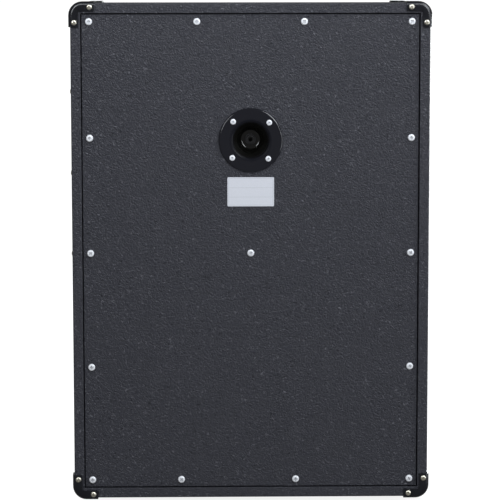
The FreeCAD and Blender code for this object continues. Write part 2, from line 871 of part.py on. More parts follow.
def basket():
    """Pressed steel chassis: rim, sloping wall with windows, spider shelf and magnet seat."""
    top = gasket_thickness + soft_thickness
    steel = sheet_steel
    wall_top = cutout_radius - basket_inset
    seat_back = seat_depth + steel
    shelf_back = shelf_depth + steel
    pan = turned((driver_rim_radius, top), (wall_top, top), (shelf_radius, shelf_depth),
                 (neck_radius, shelf_depth), (neck_radius, seat_depth), (seat_bore_radius, seat_depth),
                 (seat_bore_radius, seat_back), (neck_radius + steel, seat_back),
                 (neck_radius + steel, shelf_back), (shelf_radius + steel, shelf_back),
                 (wall_top + steel, top + steel), (driver_rim_radius, top + steel))
    share = 360 / window_count
    low = top + (shelf_depth - top) * (1 - window_share) / 2
    high = shelf_depth - (shelf_depth - top) * (1 - window_share) / 2
    cuts = []
    for index in range(window_count):
        window = outline((neck_radius, low), (driver_rim_radius, low), (driver_rim_radius, high),
                         (neck_radius, high)).revolve(Vector(0, 0, 0), UP, share * window_share)
        window.rotate(Vector(0, 0, 0), UP, share * (index - window_share / 2))
        cuts.append(window)
    return pierced(pan.cut(cuts), top, top + steel)


def pierced(shape, low, high):
    """Flat rim part with the driver's bolt holes through it."""
    cuts = []
    for index in range(rim_bolt_count):
        x, y = round_corner((0, 0), bolt_circle, 360 * (index + 0.5) / rim_bolt_count)
        cuts.append(Part.makeCylinder(speaker_bolt[2] + bolt_clearance, high - low, Vector(x, y, low)))
    return shape.cut(cuts)


def cone():
    """Curved paper cone from the surround to the voice coil."""
    rim, bowed, neck = cone_line(0)
    far_rim, far_bowed, far_neck = cone_line(soft_thickness)
    return turned(rim, (bowed, neck), far_neck, (far_bowed, far_rim))


def dust_cap():
    """Domed cap glued to the front of the cone."""
    edge = cone_depth_at(cap_radius)
    dome = (cap_radius ** 2 + cap_height ** 2) / (2 * cap_height)
    centre = edge - cap_height + dome
    half_turn = 90 - math.degrees(math.asin(cap_radius / dome)) / 2
    inner = dome - soft_thickness
    inner_edge = math.sqrt(inner ** 2 - (dome - cap_height) ** 2)
    outer_via = round_corner((0, centre), dome, -half_turn)
    inner_via = round_corner((0, centre), inner, -half_turn)
    front = edge - cap_height
    return turned((cap_radius, edge), (outer_via, (0, front)), (0, front + soft_thickness),
                  (inner_via, (inner_edge, edge)))


def voice_coil():
    """Former glued into the cone's neck, with the winding at its rear end."""
    inner = coil_radius - coil_former
    front = gasket_thickness + soft_thickness / 2 + cone_depth
    centre = seat_depth + sheet_steel + plate_thickness / 2
    back = centre + winding_length / 2
    outer = coil_radius + winding_thickness
    return turned((inner, front), (coil_radius, front), (coil_radius, back - winding_length),
                  (outer, back - winding_length), (outer, back), (inner, back))


def motor():
    """Top plate, ring magnet, and back plate with its vented pole."""
    plate_front = seat_depth + sheet_steel
    magnet_front = plate_front + plate_thickness
    back_front = magnet_front + magnet_thickness
    back = back_front + plate_thickness
    top_plate = ring(coil_radius + winding_thickness + pole_gap, plate_radius, plate_front, magnet_front)
    magnet = ring(magnet_bore_radius, magnet_radius, magnet_front, back_front)
    pole = coil_radius - coil_former - pole_gap
    back_plate = turned((vent_radius, plate_front), (pole, plate_front), (pole, back_front),
                        (back_plate_radius, back_front), (back_plate_radius, back), (vent_radius, back))
    return top_plate, magnet, back_plate


def terminal_board():
    """Small block on the basket's neck with two push-on tabs, on the +X side."""
    seat = neck_radius + sheet_steel
    start = shelf_depth + sheet_steel
    block = box((seat - sheet_steel, seat + terminal_depth), about(0, terminal_width / 2),
                (start, start + terminal_length))
    block = block.cut(Part.makeCylinder(seat, terminal_length, Vector(0, 0, start)))
    tabs = []
    for side in (-1, 1):
        tabs.append(box((seat + terminal_depth, seat + terminal_depth + tab_length),
                        about(side * tab_spacing / 2, tab_width / 2),
                        about(start + terminal_length / 2, tab_thickness / 2)))
    return block.multiFuse(tabs)


def driver():
    """One driver made along Z, from the back of the baffle at 0."""
    level = gasket_thickness
    top_plate, magnet, back_plate = motor()
    return {
        "gasket": pierced(ring(cutout_radius, driver_rim_radius, 0, level), 0, level),
        "surround": pierced(surround(), level, level + soft_thickness),
        "basket": basket(),
        "cone": cone(),
        "dust_cap": dust_cap(),
        "voice_coil": voice_coil(),
        "spider": spider(),
        "top_plate": top_plate,
        "magnet": magnet,
        "back_plate": back_plate,
        "terminal_board": terminal_board(),
    }


def lead(points, name):
    """Round lead along straight runs joined by arcs as large as the runs allow."""
    section = math.pi * lead_diameter ** 2 / 4
    edges = []
    here = points[0]
    radii = []
    for before, corner, after in zip(points, points[1:], points[2:]):
        inward = (before - corner).normalize()
        outward = (after - corner).normalize()
        half_angle = inward.getAngle(outward) / 2
        reach = lead_bend_share * min(before.distanceToPoint(corner), after.distanceToPoint(corner))
        radius = reach * math.tan(half_angle)
        bisector = (inward + outward).normalize()
        start = corner + inward * reach
        end = corner + outward * reach
        via = corner + bisector * (reach / math.cos(half_angle) - radius)
        edges.append(Part.LineSegment(here, start).toShape())
        edges.append(Part.Arc(start, via, end).toShape())
        here = end
        radii.append(radius)
    edges.append(Part.LineSegment(here, points[-1]).toShape())
    path = Part.Wire(edges)
    direction = points[1] - points[0]
    circle = Part.Wire(Part.makeCircle(lead_diameter / 2, points[0], direction))
    tube = path.makePipeShell([circle], True, False)
    print(name, "bend radii", [round(radius, 1) for radius in radii],
          "volume over section times length", round(tube.Volume / (section * path.Length), 4))
    return tube


def lead_route(side, height, points):
    """Whole route of a lead, from the jack's lug to the tip of a driver's tabs."""
    tab_tip = neck_radius + sheet_steel + terminal_depth + tab_length
    tab_y = baffle_back + shelf_depth + sheet_steel + terminal_length / 2
    lug_x = side * jack_lug_offset
    clear_y = (jack_lug_end + driver_back) / 2
    route = [Vector(lug_x, jack_lug_end, dish_height), Vector(lug_x, clear_y, dish_height)]
    route += [Vector(x, driver_back + y, middle + z) for x, y, z in points]
    route.append(Vector(side * tab_tip, tab_y, height))
    return route


def build():
    """All nodes of the cabinet by name."""
    nodes = shell_panels()
    nodes["shell_covering"] = shell_covering()

    rear_screws, rear_holes = screws_and_holes(panel_screw, rear_panel_seats())
    corner_fixings, corner_holes = screws_and_holes(corner_screw, corner_seats())
    handle_fixings, handle_holes = screws_and_holes(handle_screw, handle_seats())
    baffle_fixings, baffle_holes = screws_and_holes(baffle_screw, baffle_seats())
    dish_fixings, dish_holes = screws_and_holes(dish_screw, dish_seats())
    head_seat = UP * (foot_bore_depth - foot_washer_thickness)
    foot_seats = [(place + head_seat, -UP) for place in foot_places()]
    foot_fixings, foot_holes = screws_and_holes(foot_screw, foot_seats)

    cutout = handle_cutout()
    cutouts = [cutout, mirrored(cutout)]
    for name in ("top_panel", "left_panel", "right_panel", "bottom_panel", "shell_covering"):
        nodes[name] = nodes[name].cut(corner_holes + handle_holes + foot_holes + cutouts)

    board, board_covering = rear_panel_pieces()
    dish_axis = Vector(0, panel_inner, dish_height)
    dish_hole_radius = dish_mouth_radius + dish_wall + dish_clearance
    dish_hole = Part.makeCylinder(dish_hole_radius, panel_face - panel_inner, dish_axis, REAR)
    panel_cuts = rear_holes + dish_holes + [dish_hole]
    nodes["rear_panel"] = board.cut(panel_cuts)
    nodes["rear_panel_covering"] = board_covering.cut(panel_cuts)
    nodes["rear_panel_screws"] = group(rear_screws)

    rear_bars, front_bars = batten_bars()
    nodes["rear_battens"] = group([bar.cut(rear_holes) for bar in rear_bars])
    nodes["baffle_battens"] = group([bar.cut(baffle_holes) for bar in front_bars])
    brace = box(about(0, brace_width / 2), (baffle_back, panel_inner), about(middle, brace_height / 2))
    nodes["centre_brace"] = brace.cut(rear_holes + baffle_holes)
    nodes["baffle_board"] = baffle_board().cut(baffle_holes)
    nodes["baffle_screws"] = group(baffle_fixings)

    bars, nodes["grille_cloth"], pads = grille_pieces()
    nodes["grille_frame"] = group(bars)
    nodes["grille_pads"] = group(pads)

    rear_corners, front_corners = corner_protectors(corner_holes)
    nodes["rear_corner_protectors"] = group(rear_corners)
    nodes["front_corner_protectors"] = group(front_corners)
    nodes["corner_screws"] = group(corner_fixings)

    cup = handle_cup().cut(handle_holes)
    bar = handle_bar()
    nodes["handle_cup_right"] = cup
    nodes["handle_cup_left"] = mirrored(cup)
    nodes["handle_bar_right"] = bar
    nodes["handle_bar_left"] = mirrored(bar)
    nodes["handle_screws"] = group(handle_fixings)

    washer = ring(foot_screw[2] + screw_clearance, foot_washer_radius, 0, foot_washer_thickness)
    nodes["rubber_feet"] = group([placed(foot(), place, UP) for place in foot_places()])
    nodes["foot_washers"] = group([placed(washer, seat, UP) for seat, _ in foot_seats])
    nodes["foot_screws"] = group(foot_fixings)

    jack_washer, jack_nut = jack_rings()
    floor_centre = Vector(0, dish_floor, dish_height)
    nodes["jack_dish"] = placed(jack_dish(), Vector(0, panel_face, dish_height), REAR).cut(dish_holes)
    nodes["jack_dish_screws"] = group(dish_fixings)
    nodes["jack_socket"] = jack_socket()
    nodes["jack_washer"] = placed(jack_washer, floor_centre, REAR)
    nodes["jack_nut"] = placed(jack_nut, floor_centre, REAR)
    nodes["blank_label"] = label()

    bolt_seat = REAR * (gasket_thickness + soft_thickness + sheet_steel)
    nut_seat = -REAR * baffle_thickness
    bolt_places = rim_bolt_places()
    nodes["speaker_bolts"] = group([placed(rim_bolt(), place + bolt_seat, REAR) for place in bolt_places])
    nodes["speaker_nuts"] = group([placed(t_nut(), place + nut_seat, -REAR) for place in bolt_places])
    pieces = driver()
    for name, height in driver_heights.items():
        for piece, shape in pieces.items():
            turned_piece = shape.copy()
            if piece == "terminal_board" and name == "lower":
                turned_piece.rotate(Vector(0, 0, 0), UP, 180)
            nodes[name + "_" + piece] = placed(turned_piece, Vector(0, baffle_back, height), REAR)
    nodes["upper_lead"] = lead(lead_route(1, driver_heights["upper"], upper_lead_points), "upper lead")
    nodes["lower_lead"] = lead(lead_route(-1, driver_heights["lower"], lower_lead_points), "lower lead")
    return nodes


def main():
    os.makedirs("parts", exist_ok=True)
    for name, shape in build().items():
        shape.exportStep("parts/" + name + ".step")


main()
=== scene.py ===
import math
import random

import bmesh
import bpy
import numpy
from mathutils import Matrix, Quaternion, Vector
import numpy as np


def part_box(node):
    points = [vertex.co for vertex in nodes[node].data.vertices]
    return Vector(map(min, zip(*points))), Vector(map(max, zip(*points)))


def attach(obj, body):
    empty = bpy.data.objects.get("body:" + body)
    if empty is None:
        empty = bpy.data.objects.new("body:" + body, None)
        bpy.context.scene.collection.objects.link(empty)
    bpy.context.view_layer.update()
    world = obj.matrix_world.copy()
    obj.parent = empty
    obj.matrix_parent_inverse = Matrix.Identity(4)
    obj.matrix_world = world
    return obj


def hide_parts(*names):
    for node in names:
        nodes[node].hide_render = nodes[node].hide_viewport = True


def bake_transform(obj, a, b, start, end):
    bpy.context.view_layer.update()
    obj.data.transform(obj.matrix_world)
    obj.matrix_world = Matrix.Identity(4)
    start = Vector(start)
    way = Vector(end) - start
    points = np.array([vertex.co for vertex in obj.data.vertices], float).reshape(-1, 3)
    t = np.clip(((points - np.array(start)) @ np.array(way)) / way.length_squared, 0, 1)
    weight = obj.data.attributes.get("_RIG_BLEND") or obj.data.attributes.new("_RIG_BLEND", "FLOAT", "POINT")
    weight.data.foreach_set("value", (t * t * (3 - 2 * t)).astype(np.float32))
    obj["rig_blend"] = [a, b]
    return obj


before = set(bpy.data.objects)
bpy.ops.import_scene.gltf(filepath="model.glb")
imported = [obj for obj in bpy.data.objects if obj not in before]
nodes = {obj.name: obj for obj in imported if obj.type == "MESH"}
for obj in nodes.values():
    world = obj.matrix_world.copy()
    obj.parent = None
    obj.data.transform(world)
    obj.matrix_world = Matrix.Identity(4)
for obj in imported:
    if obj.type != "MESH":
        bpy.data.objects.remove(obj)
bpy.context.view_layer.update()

# Values are in metres, apart from those in a block that says millimetres. The cabinet's front is
# at -Y, its rear panel at +Y, and the photograph's left is +X.
MILLIMETRE = 0.001
FULL_TURN = 2 * math.pi
CABINET = "cabinet"
CONE_BODY = {"upper": "upper_cone_assembly", "lower": "lower_cone_assembly"}

# Camera, found from the cabinet's edges in the photograph; angles in degrees, lens in millimetres
CAMERA_TARGET = Vector((0.00119, 0.150, 0.36555))
CAMERA_DISTANCE = 3.09814
CAMERA_AZIMUTH = 178.904
CAMERA_ELEVATION = 6.6
CAMERA_ROLL = -0.055
CAMERA_LENS = 158.54
CAMERA_SENSOR = 36.0

# Screws, in millimetres: head height, recess arm length, recess arm width, recess depth and shank
# radius, and then how flat the crown is
SCREW_SIZES = {
    "rear_panel_screws": (2.8, 4.8, 1.8, 2.2, 2.0, 7.0),
    "jack_dish_screws": (2.2, 3.8, 1.4, 1.6, 1.6, 6.0),
    "corner_screws": (2.2, 5.0, 1.5, 1.8, 1.6, 3.4),
    "handle_screws": (2.4, 4.4, 1.1, 1.4, 1.75, 2.6),
    "foot_screws": (2.4, 4.6, 1.1, 1.4, 2.0, 3.0),
}
THREAD_PITCH = 1.6
THREAD_DEPTH = 0.18           # share of the shank's radius
HEAD_SEGMENTS, HEAD_RINGS = 32, 18
HEAD_UNDERSIDE = 0.1          # what is left of the ball's lower half
BLADE_HEIGHTS = (2.0, 1.9)    # of the two blades that cut the recess, in recess depths
SHANK_SIDES, SHANK_STEPS = 16, 40
TIP_REACH, TIP_SLOPE = 1.08, 5.0
SCREW_SEED = 7

# Edges: degrees above which they stay sharp, are rounded or are kept at all; width in millimetres
SHARP_EDGE = 40.0
RING_SHARP_EDGE = 50.0
ROUNDED_EDGE = 35.0
FLAT_EDGE = 0.5
ROUNDED_WIDTH = 0.5
ROUNDED_STEPS = 3

# Cloth over the grille frame, in millimetres
CLOTH_THICKNESS = 0.7
CLOTH_EDGE_RADIUS = 2.0
CLOTH_SAG = 0.5
CLOTH_SAG_POWER = 0.6
CLOTH_BAR_WIDTH = 28.0
CLOTH_CELLS = (48, 68)
CLOTH_BEND_STEPS = 4

# Leads inside the cabinet, as points in millimetres from a jack lug to a driver's tabs
LEAD_DIAMETER = 5.0
LEAD_ROUTES = {
    "upper_lead": ((5, 87.5, 520), (5, 50.4, 520), (48, 35.3, 523), (92, 15.3, 527),
                   (106, -23.7, 529), (72, -41.2, 529)),
    "lower_lead": ((-5, 87.5, 520), (-5, 50.4, 520), (-16, 42.3, 479), (-33, 45.3, 423),
                   (-44, 47.3, 361), (-62, 44.3, 303), (-86, 36.3, 253), (-105, 12.3, 215),
                   (-106, -21.7, 195), (-72, -41.2, 193)),
}
LEAD_STEPS, LEAD_SIDE_STEPS = 12, 4
MEASURE_STEPS = 24

# Soft rings of the drivers, in millimetres: the radii between which they flex, how far they lap
# onto what they are glued to, and the width over which that lap fades out
SURROUND_FLEX = (127.0, 138.0)
SURROUND_LAP = 1.6
SPIDER_FLEX = (27.0, 58.0)
SPIDER_LAP = 0.4
LAP_REACH = 3.0

# Studio: softboxes at the sides by name, place, size and watts, and the strengths of the rest
COOL = (0.92, 0.955, 1.0)
PLAIN = (1.0, 1.0, 1.0)
SIDE_SOFTBOXES = (
    ("left", (1.65, 2.55, 1.60), (0.5, 1.4), 49.0),
    ("right", (-1.65, 2.55, 1.52), (0.5, 1.7), 48.0),
)
SIDE_TARGET = (0, 0.15, 0.52)
GLINT_SHARE, FILL_SHARE = 1.0, 1.4
FLOOR_REACH = 60.0
FLOOR_GLOW = 0.88
ROOM_STRENGTH = 1.07
MIRRORED_ROOM_STRENGTH = 0.25


def metres(*values):
    """Millimetres as a vector in metres."""
    return Vector(values) * MILLIMETRE


def middle(node):
    """Middle of a CAD node's box."""
    low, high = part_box(node)
    return (low + high) / 2


def new_object(name, data):
    """Object in the scene, at the origin."""
    item = bpy.data.objects.new(name, data)
    bpy.context.scene.collection.objects.link(item)
    return item


# Nodes of materials and of geometry
def add_node(tree, kind, settings=None, **values):
    """Node with its settings, and its sockets set or wired by name, or by number as in _0."""
    node = tree.nodes.new(kind)
    for name, value in (settings or {}).items():
        setattr(node, name, value)
    for name, value in values.items():
        socket = node.inputs[int(name[1:]) if name[1:].isdigit() else name.replace("_", " ")]
        for item in value if isinstance(value, list) else [value]:
            if isinstance(item, bpy.types.NodeSocket):
                tree.links.new(item, socket)
            else:
                socket.default_value = item
    return node


def add_sum(tree, operation, first, second=0.0, third=0.0):
    """One sum on plain numbers or sockets."""
    return add_node(tree, "ShaderNodeMath", {"operation": operation}, _0=first, _1=second,
                    _2=third).outputs[0]


class Finish:
    """Material with one shader. Its calls add nodes, and most of them return an output socket."""

    def __init__(self, name, colour, roughness, **constants):
        """Sets the values that are the same all over on the shader's own sockets."""
        self.material = bpy.data.materials.new(name)
        self.material.use_nodes = True
        self.tree = self.material.node_tree
        self.shader = self.tree.nodes["Principled BSDF"]
        self.shader.inputs["Base Color"].default_value = (*colour, 1.0)
        self.shader.inputs["Roughness"].default_value = roughness
        for socket, value in constants.items():
            self.shader.inputs[socket.replace("_", " ")].default_value = value

    def place(self, centre=(0, 0, 0), stretch=(1, 1, 1)):
        """Object coordinates about a centre."""
        source = add_node(self.tree, "ShaderNodeTexCoord")
        shift = tuple(-value * scale for value, scale in zip(centre, stretch))
        return add_node(self.tree, "ShaderNodeMapping", Vector=source.outputs["Object"],
                        Location=shift, Scale=stretch).outputs["Vector"]

    def axes(self, place):
        """X, Y and Z of a place."""
        return add_node(self.tree, "ShaderNodeSeparateXYZ", Vector=place).outputs

    def noise(self, place, size, detail=2.0, roughness=0.5, distortion=0.0):
        """Soft noise whose blotches are about a given size."""
        return add_node(self.tree, "ShaderNodeTexNoise", Vector=place, Scale=1 / size,
                        Detail=detail, Roughness=roughness, Distortion=distortion).outputs["Fac"]

    def pushed(self, place, size, reach):
        """Place pushed about by noise, so that a grain laid on it isn't regular."""
        drift = add_node(self.tree, "ShaderNodeTexNoise", Vector=place, Scale=1 / size, Detail=3.0)
        return add_node(self.tree, "ShaderNodeVectorMath", {"operation": "MULTIPLY_ADD"},
                        _0=drift.outputs["Color"], _1=(reach, reach, reach), _2=place).outputs[0]

    def cells(self, place, size, feature="F1"):
        """Distance within cells of about a given size."""
        return add_node(self.tree, "ShaderNodeTexVoronoi", {"feature": feature}, Vector=place,
                        Scale=1 / size).outputs["Distance"]

    def calc(self, operation, first, second=0.0, third=0.0):
        """One sum on plain numbers or sockets."""
        return add_sum(self.tree, operation, first, second, third)

    def waves(self, value, pitch):
        """Waves from -1 to 1 with a given pitch."""
        return self.calc("SINE", self.calc("MULTIPLY", value, FULL_TURN / pitch))

    def reach(self, first, second):
        """Distance from an axis, from the two coordinates across it."""
        squares = self.calc("MULTIPLY", first, first)
        return self.calc("SQRT", self.calc("MULTIPLY_ADD", second, second, squares))

    def weighted(self, *parts):
        """Sum of sockets, each times a share."""
        total = 0.0
        for share, value in parts:
            total = self.calc("MULTIPLY_ADD", value, share, total)
        return total

    def ramp(self, value, low, high, to_low=0.0, to_high=1.0, kind="LINEAR"):
        """Value moved from one range to another and held inside it."""
        node = add_node(self.tree, "ShaderNodeMapRange", {"interpolation_type": kind}, Value=value,
                        From_Min=low, From_Max=high, To_Min=to_low, To_Max=to_high)
        return node.outputs["Result"]

    def smooth_ramp(self, value, low, high, to_low=0.0, to_high=1.0):
        """Like ramp, but eased at both ends."""
        return self.ramp(value, low, high, to_low, to_high, "SMOOTHSTEP")

    def mix(self, share, first, second):
        """Colour between two colours by a share."""
        first, second = (value if isinstance(value, bpy.types.NodeSocket) else (*value, 1.0)
                         for value in (first, second))
        return add_node(self.tree, "ShaderNodeMix", {"data_type": "RGBA"}, Factor=share, _6=first,
                        _7=second).outputs[2]

    def relief(self, height, depth):
        """Surface relief of a given depth from a height of 0 to 1."""
        bump = add_node(self.tree, "ShaderNodeBump", Height=height, Distance=depth, Strength=1.0)
        self.tree.links.new(bump.outputs["Normal"], self.shader.inputs["Normal"])

    def feed(self, **sockets):
        """Wires sockets of the shader."""
        for name, value in sockets.items():
            self.tree.links.new(value, self.shader.inputs[name.replace("_", " ")])


# Finishes of the cabinet
def vinyl_finish():
    """Black vinyl with a leathery pebble and fine creases. Its colour holds painted shade in the valleys and
    creases with lighter crests, painted highlights as scattered pale specks, and painted shade as dark pits.
    """
    pebble_size, crease_size, wrinkle_size, pore_size = 0.0030, 0.0048, 0.0024, 0.0008
    patch_size, glint_size, pit_size = 0.03, 0.0032, 0.0036
    valley_shade, lit_crest_colour = (0.0114, 0.0117, 0.0145), (0.0142, 0.0146, 0.0181)
    patch, glint_colour, pit_shade = (0.0118, 0.0121, 0.0151), (0.0430, 0.0440, 0.0500), (0.0030, 0.0032, 0.0044)
    look = Finish("grained_vinyl", (0.0120, 0.0126, 0.0158), 0.3, Specular_IOR_Level=0.17)
    place = look.place()
    bent = look.pushed(place, size=0.0058, reach=0.0040)
    pebbles = look.smooth_ramp(look.cells(bent, pebble_size), 0.05, 0.7, 1.0, 0.0)
    creases = look.smooth_ramp(look.cells(bent, crease_size, "DISTANCE_TO_EDGE"), 0.0, 0.14)
    wrinkles = look.noise(bent, wrinkle_size, 3.0, 0.65, 0.8)
    pores = look.noise(place, pore_size, 1.0)
    patches = look.noise(place, patch_size)
    # Pale specks are painted highlights that stand in for glints on the grain
    glint_specks = look.smooth_ramp(look.noise(bent, glint_size, 2.0, 0.6), 0.62, 0.72, 0.0, 0.8)
    # Dark pits are painted shade of hollows, which the relief doesn't have
    pit_shade_mask = look.smooth_ramp(look.noise(bent, pit_size, 1.0), 0.26, 0.36, 0.7, 0.0)
    height = look.weighted((0.36, pebbles), (0.30, creases), (0.28, wrinkles), (0.06, pores))
    look.relief(height, 0.0012)
    # Crests lighter than valleys: painted highlight on the crests and painted shade in the valleys and
    # creases
    crest = look.smooth_ramp(height, 0.40, 0.80)
    base = look.mix(crest, valley_shade, lit_crest_colour)
    mottled = look.mix(look.ramp(patches, 0.35, 0.7, 0.0, 0.4), base, patch)
    glinted = look.mix(glint_specks, mottled, glint_colour)
    polish = look.weighted((0.6, crest), (0.4, patches))
    look.feed(Base_Color=look.mix(pit_shade_mask, glinted, pit_shade),
              Roughness=look.ramp(polish, 0.1, 0.9, 0.44, 0.16))
    return look.material


def moulded_finish(name, colour, roughness, grain=0.0006, depth=0.00003, **constants):
    """Moulded plastic or rubber with a fine spark-eroded grain and slight clouding."""
    look = Finish(name, colour, roughness, **constants)
    place = look.place()
    cloud = look.noise(place, 0.02, 3.0)
    fine = look.noise(place, grain, 2.0, 0.6)
    darker = tuple(value * 0.75 for value in colour)
    lighter = tuple(value * 1.25 for value in colour)
    uneven = look.weighted((0.5, cloud), (0.5, fine))
    look.feed(Base_Color=look.mix(look.ramp(cloud, 0.3, 0.7), darker, lighter),
              Roughness=look.ramp(uneven, 0.3, 0.7, roughness - 0.06, roughness + 0.06))
    look.relief(fine, depth)
    return look.material


def dish_finish():
    """Black plastic, dull round the mouth and glossy at the outer edge and in the bowl, with painted shade
    darkening the bowl.
    """
    bowl_shade_colour, flange_colour = (0.0021, 0.0021, 0.0018), (0.0031, 0.0033, 0.0050)
    bright, dull = (1.0, 1.0, 1.0), (0.09, 0.09, 0.08)
    flange_radii, lip_start, lip_end = (0.0225, 0.0275), (0.0175, 0.0205), (0.0276, 0.0310)
    ring_pitch = 0.0016
    look = Finish("dish_plastic", flange_colour, 0.14, Specular_IOR_Level=0.38)
    place = look.place(middle("jack_dish"))
    x, _, z = look.axes(place)
    radius = look.reach(x, z)
    flange = look.smooth_ramp(radius, *flange_radii)
    fine = look.noise(place, 0.0007)
    cloud = look.noise(place, 0.016)
    rings = look.waves(radius, ring_pitch)
    lip = look.calc("MULTIPLY", look.smooth_ramp(radius, *lip_start),
                    look.smooth_ramp(radius, *lip_end, 1.0, 0.0))
    polish = look.ramp(cloud, 0.3, 0.7, 0.08, 0.13)
    # The bowl's darker colour is painted shade in the recess
    look.feed(Base_Color=look.mix(flange, bowl_shade_colour, flange_colour),
              Roughness=look.calc("MULTIPLY_ADD", lip, 0.25, polish),
              Specular_Tint=look.mix(lip, bright, dull))
    grain = look.calc("MULTIPLY", fine, flange)
    look.relief(look.weighted((0.75, grain), (0.12, rings)), 0.00003)
    return look.material


def metal_finish(name, colour, dull, roughness, metallic=1.0):
    """Plated metal with fine handling marks and slightly uneven plating."""
    look = Finish(name, colour, roughness, Metallic=metallic)
    place = look.place(stretch=(1, 1, 3))
    marks = look.noise(place, 0.0012, 3.0, 0.7)
    cloud = look.noise(place, 0.006)
    look.feed(Base_Color=look.mix(look.ramp(cloud, 0.35, 0.7), colour, dull),
              Roughness=look.ramp(marks, 0.3, 0.7, roughness - 0.08, roughness + 0.1))
    look.relief(marks, 0.00002)
    return look.material


def plywood_finish():
    """Raw birch plywood: long grain on the faces and thin layers along the edges."""
    layer_pitch = 0.0028
    early, late = (0.66, 0.49, 0.31), (0.50, 0.34, 0.19)
    glue_line, pore = (0.30, 0.19, 0.10), (0.24, 0.15, 0.08)
    look = Finish("birch_plywood", (0.62, 0.45, 0.28), 0.6)
    grain = look.noise(look.place(stretch=(12, 12, 1)), 0.09, 5.0, 0.65, 0.6)
    pores = look.noise(look.place(stretch=(60, 60, 2)), 0.05)
    x, y, _ = look.axes(look.place())
    layer = look.waves(look.calc("ADD", x, y), layer_pitch)
    pale = look.mix(look.ramp(grain, 0.3, 0.7), early, late)
    layered = look.mix(look.ramp(layer, 0.2, 0.9, 0.0, 0.18), pale, glue_line)
    look.feed(Base_Color=look.mix(look.ramp(pores, 0.62, 0.8, 0.0, 0.5), layered, pore))
    look.relief(look.weighted((0.6, grain), (0.4, pores)), 0.00012)
    return look.material


def weave_finish():
    """Coarse charcoal cloth: over-and-under threads with uneven yarn."""
    pitch = 2.2 * MILLIMETRE
    slub_size, slub_stretch = 0.0016, 0.03
    shadow, yarn_colour = (0.0015, 0.0015, 0.0017), (0.034, 0.034, 0.036)
    look = Finish("grille_weave", (0.03, 0.03, 0.031), 0.85, Sheen_Weight=0.25, Sheen_Roughness=0.5)
    place = look.place()
    x, _, z = look.axes(place)
    across = look.calc("MULTIPLY", x, math.pi / pitch)
    along = look.calc("MULTIPLY", z, math.pi / pitch)
    warp = look.calc("ABSOLUTE", look.calc("SINE", across))
    weft = look.calc("ABSOLUTE", look.calc("SINE", along))
    turns = look.calc("MULTIPLY", look.calc("SINE", look.calc("MULTIPLY", across, 0.5)),
                      look.calc("SINE", look.calc("MULTIPLY", along, 0.5)))
    over = look.smooth_ramp(turns, -0.15, 0.15)
    under = look.calc("SUBTRACT", 1.0, over)

    def on_top(warp_value, weft_value):
        return look.calc("MULTIPLY_ADD", warp_value, over, look.calc("MULTIPLY", weft_value, under))

    thread = on_top(warp, weft)
    yarn = look.noise(place, 0.0005, 3.0, 0.75)
    warp_slub = look.noise(look.place(stretch=(1, 1, slub_stretch)), slub_size, 2.0, 0.7)
    weft_slub = look.noise(look.place(stretch=(slub_stretch, 1, 1)), slub_size, 2.0, 0.7)
    slub = on_top(warp_slub, weft_slub)
    tone = look.weighted((0.46, thread), (0.30, yarn), (0.24, slub))
    look.feed(Base_Color=look.mix(look.ramp(tone, 0.30, 0.80), shadow, yarn_colour))
    look.relief(look.weighted((0.72, thread), (0.28, yarn)), 0.0008)
    return look.material


def label_finish():
    """Blank silvery film with a fine grey frame and two plain rules."""
    low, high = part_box("blank_label")
    half_x, half_z = (high.x - low.x) / 2, (high.z - low.z) / 2
    margin, line = 1.8 * MILLIMETRE, 0.22 * MILLIMETRE
    rule_heights = (half_z * 0.28, -half_z * 0.36)
    line_colour, line_share = (0.05, 0.052, 0.058), 0.7
    film_dark, film_light = (0.200, 0.208, 0.228), (0.225, 0.233, 0.252)
    look = Finish("label_film", (0.19, 0.195, 0.21), 0.38, Specular_IOR_Level=0.3)
    x, _, z = look.axes(look.place(middle("blank_label")))

    def stripe(value, at):
        away = look.calc("ABSOLUTE", look.calc("SUBTRACT", value, at))
        return look.calc("LESS_THAN", away, line / 2)

    wide = look.calc("LESS_THAN", look.calc("ABSOLUTE", x), half_x - margin)
    tall = look.calc("LESS_THAN", look.calc("ABSOLUTE", z), half_z - margin)
    uprights = stripe(look.calc("ABSOLUTE", x), half_x - margin)
    rails = stripe(look.calc("ABSOLUTE", z), half_z - margin)
    rules = look.calc("MAXIMUM", *(stripe(z, height) for height in rule_heights))
    level = look.calc("MULTIPLY", look.calc("MAXIMUM", rails, rules), wide)
    drawn = look.calc("MAXIMUM", look.calc("MULTIPLY", uprights, tall), level)
    fleck = look.noise(look.place(), 0.0005)
    film = look.mix(look.ramp(fleck, 0.35, 0.65), film_dark, film_light)
    look.feed(Base_Color=look.mix(look.calc("MULTIPLY", drawn, line_share), film, line_colour),
              Roughness=look.ramp(fleck, 0.3, 0.7, 0.32, 0.46))
    return look.material


# Finishes inside the cabinet
def paper_finish(name, colour, driver_node):
    """Pulped paper with fibres and fine pressed rings round the driver's axis."""
    ring_pitch = 0.006
    look = Finish(name, colour, 0.85)
    place = look.place(middle(driver_node))
    x, _, z = look.axes(place)
    rings = look.waves(look.reach(x, z), ring_pitch)
    fibres = look.noise(place, 0.0016, 4.0, 0.7, 1.2)
    lighter = tuple(value * 1.6 for value in colour)
    look.feed(Base_Color=look.mix(look.ramp(fibres, 0.3, 0.7), colour, lighter))
    look.relief(look.weighted((0.35, rings), (0.65, fibres)), 0.0002)
    return look.material


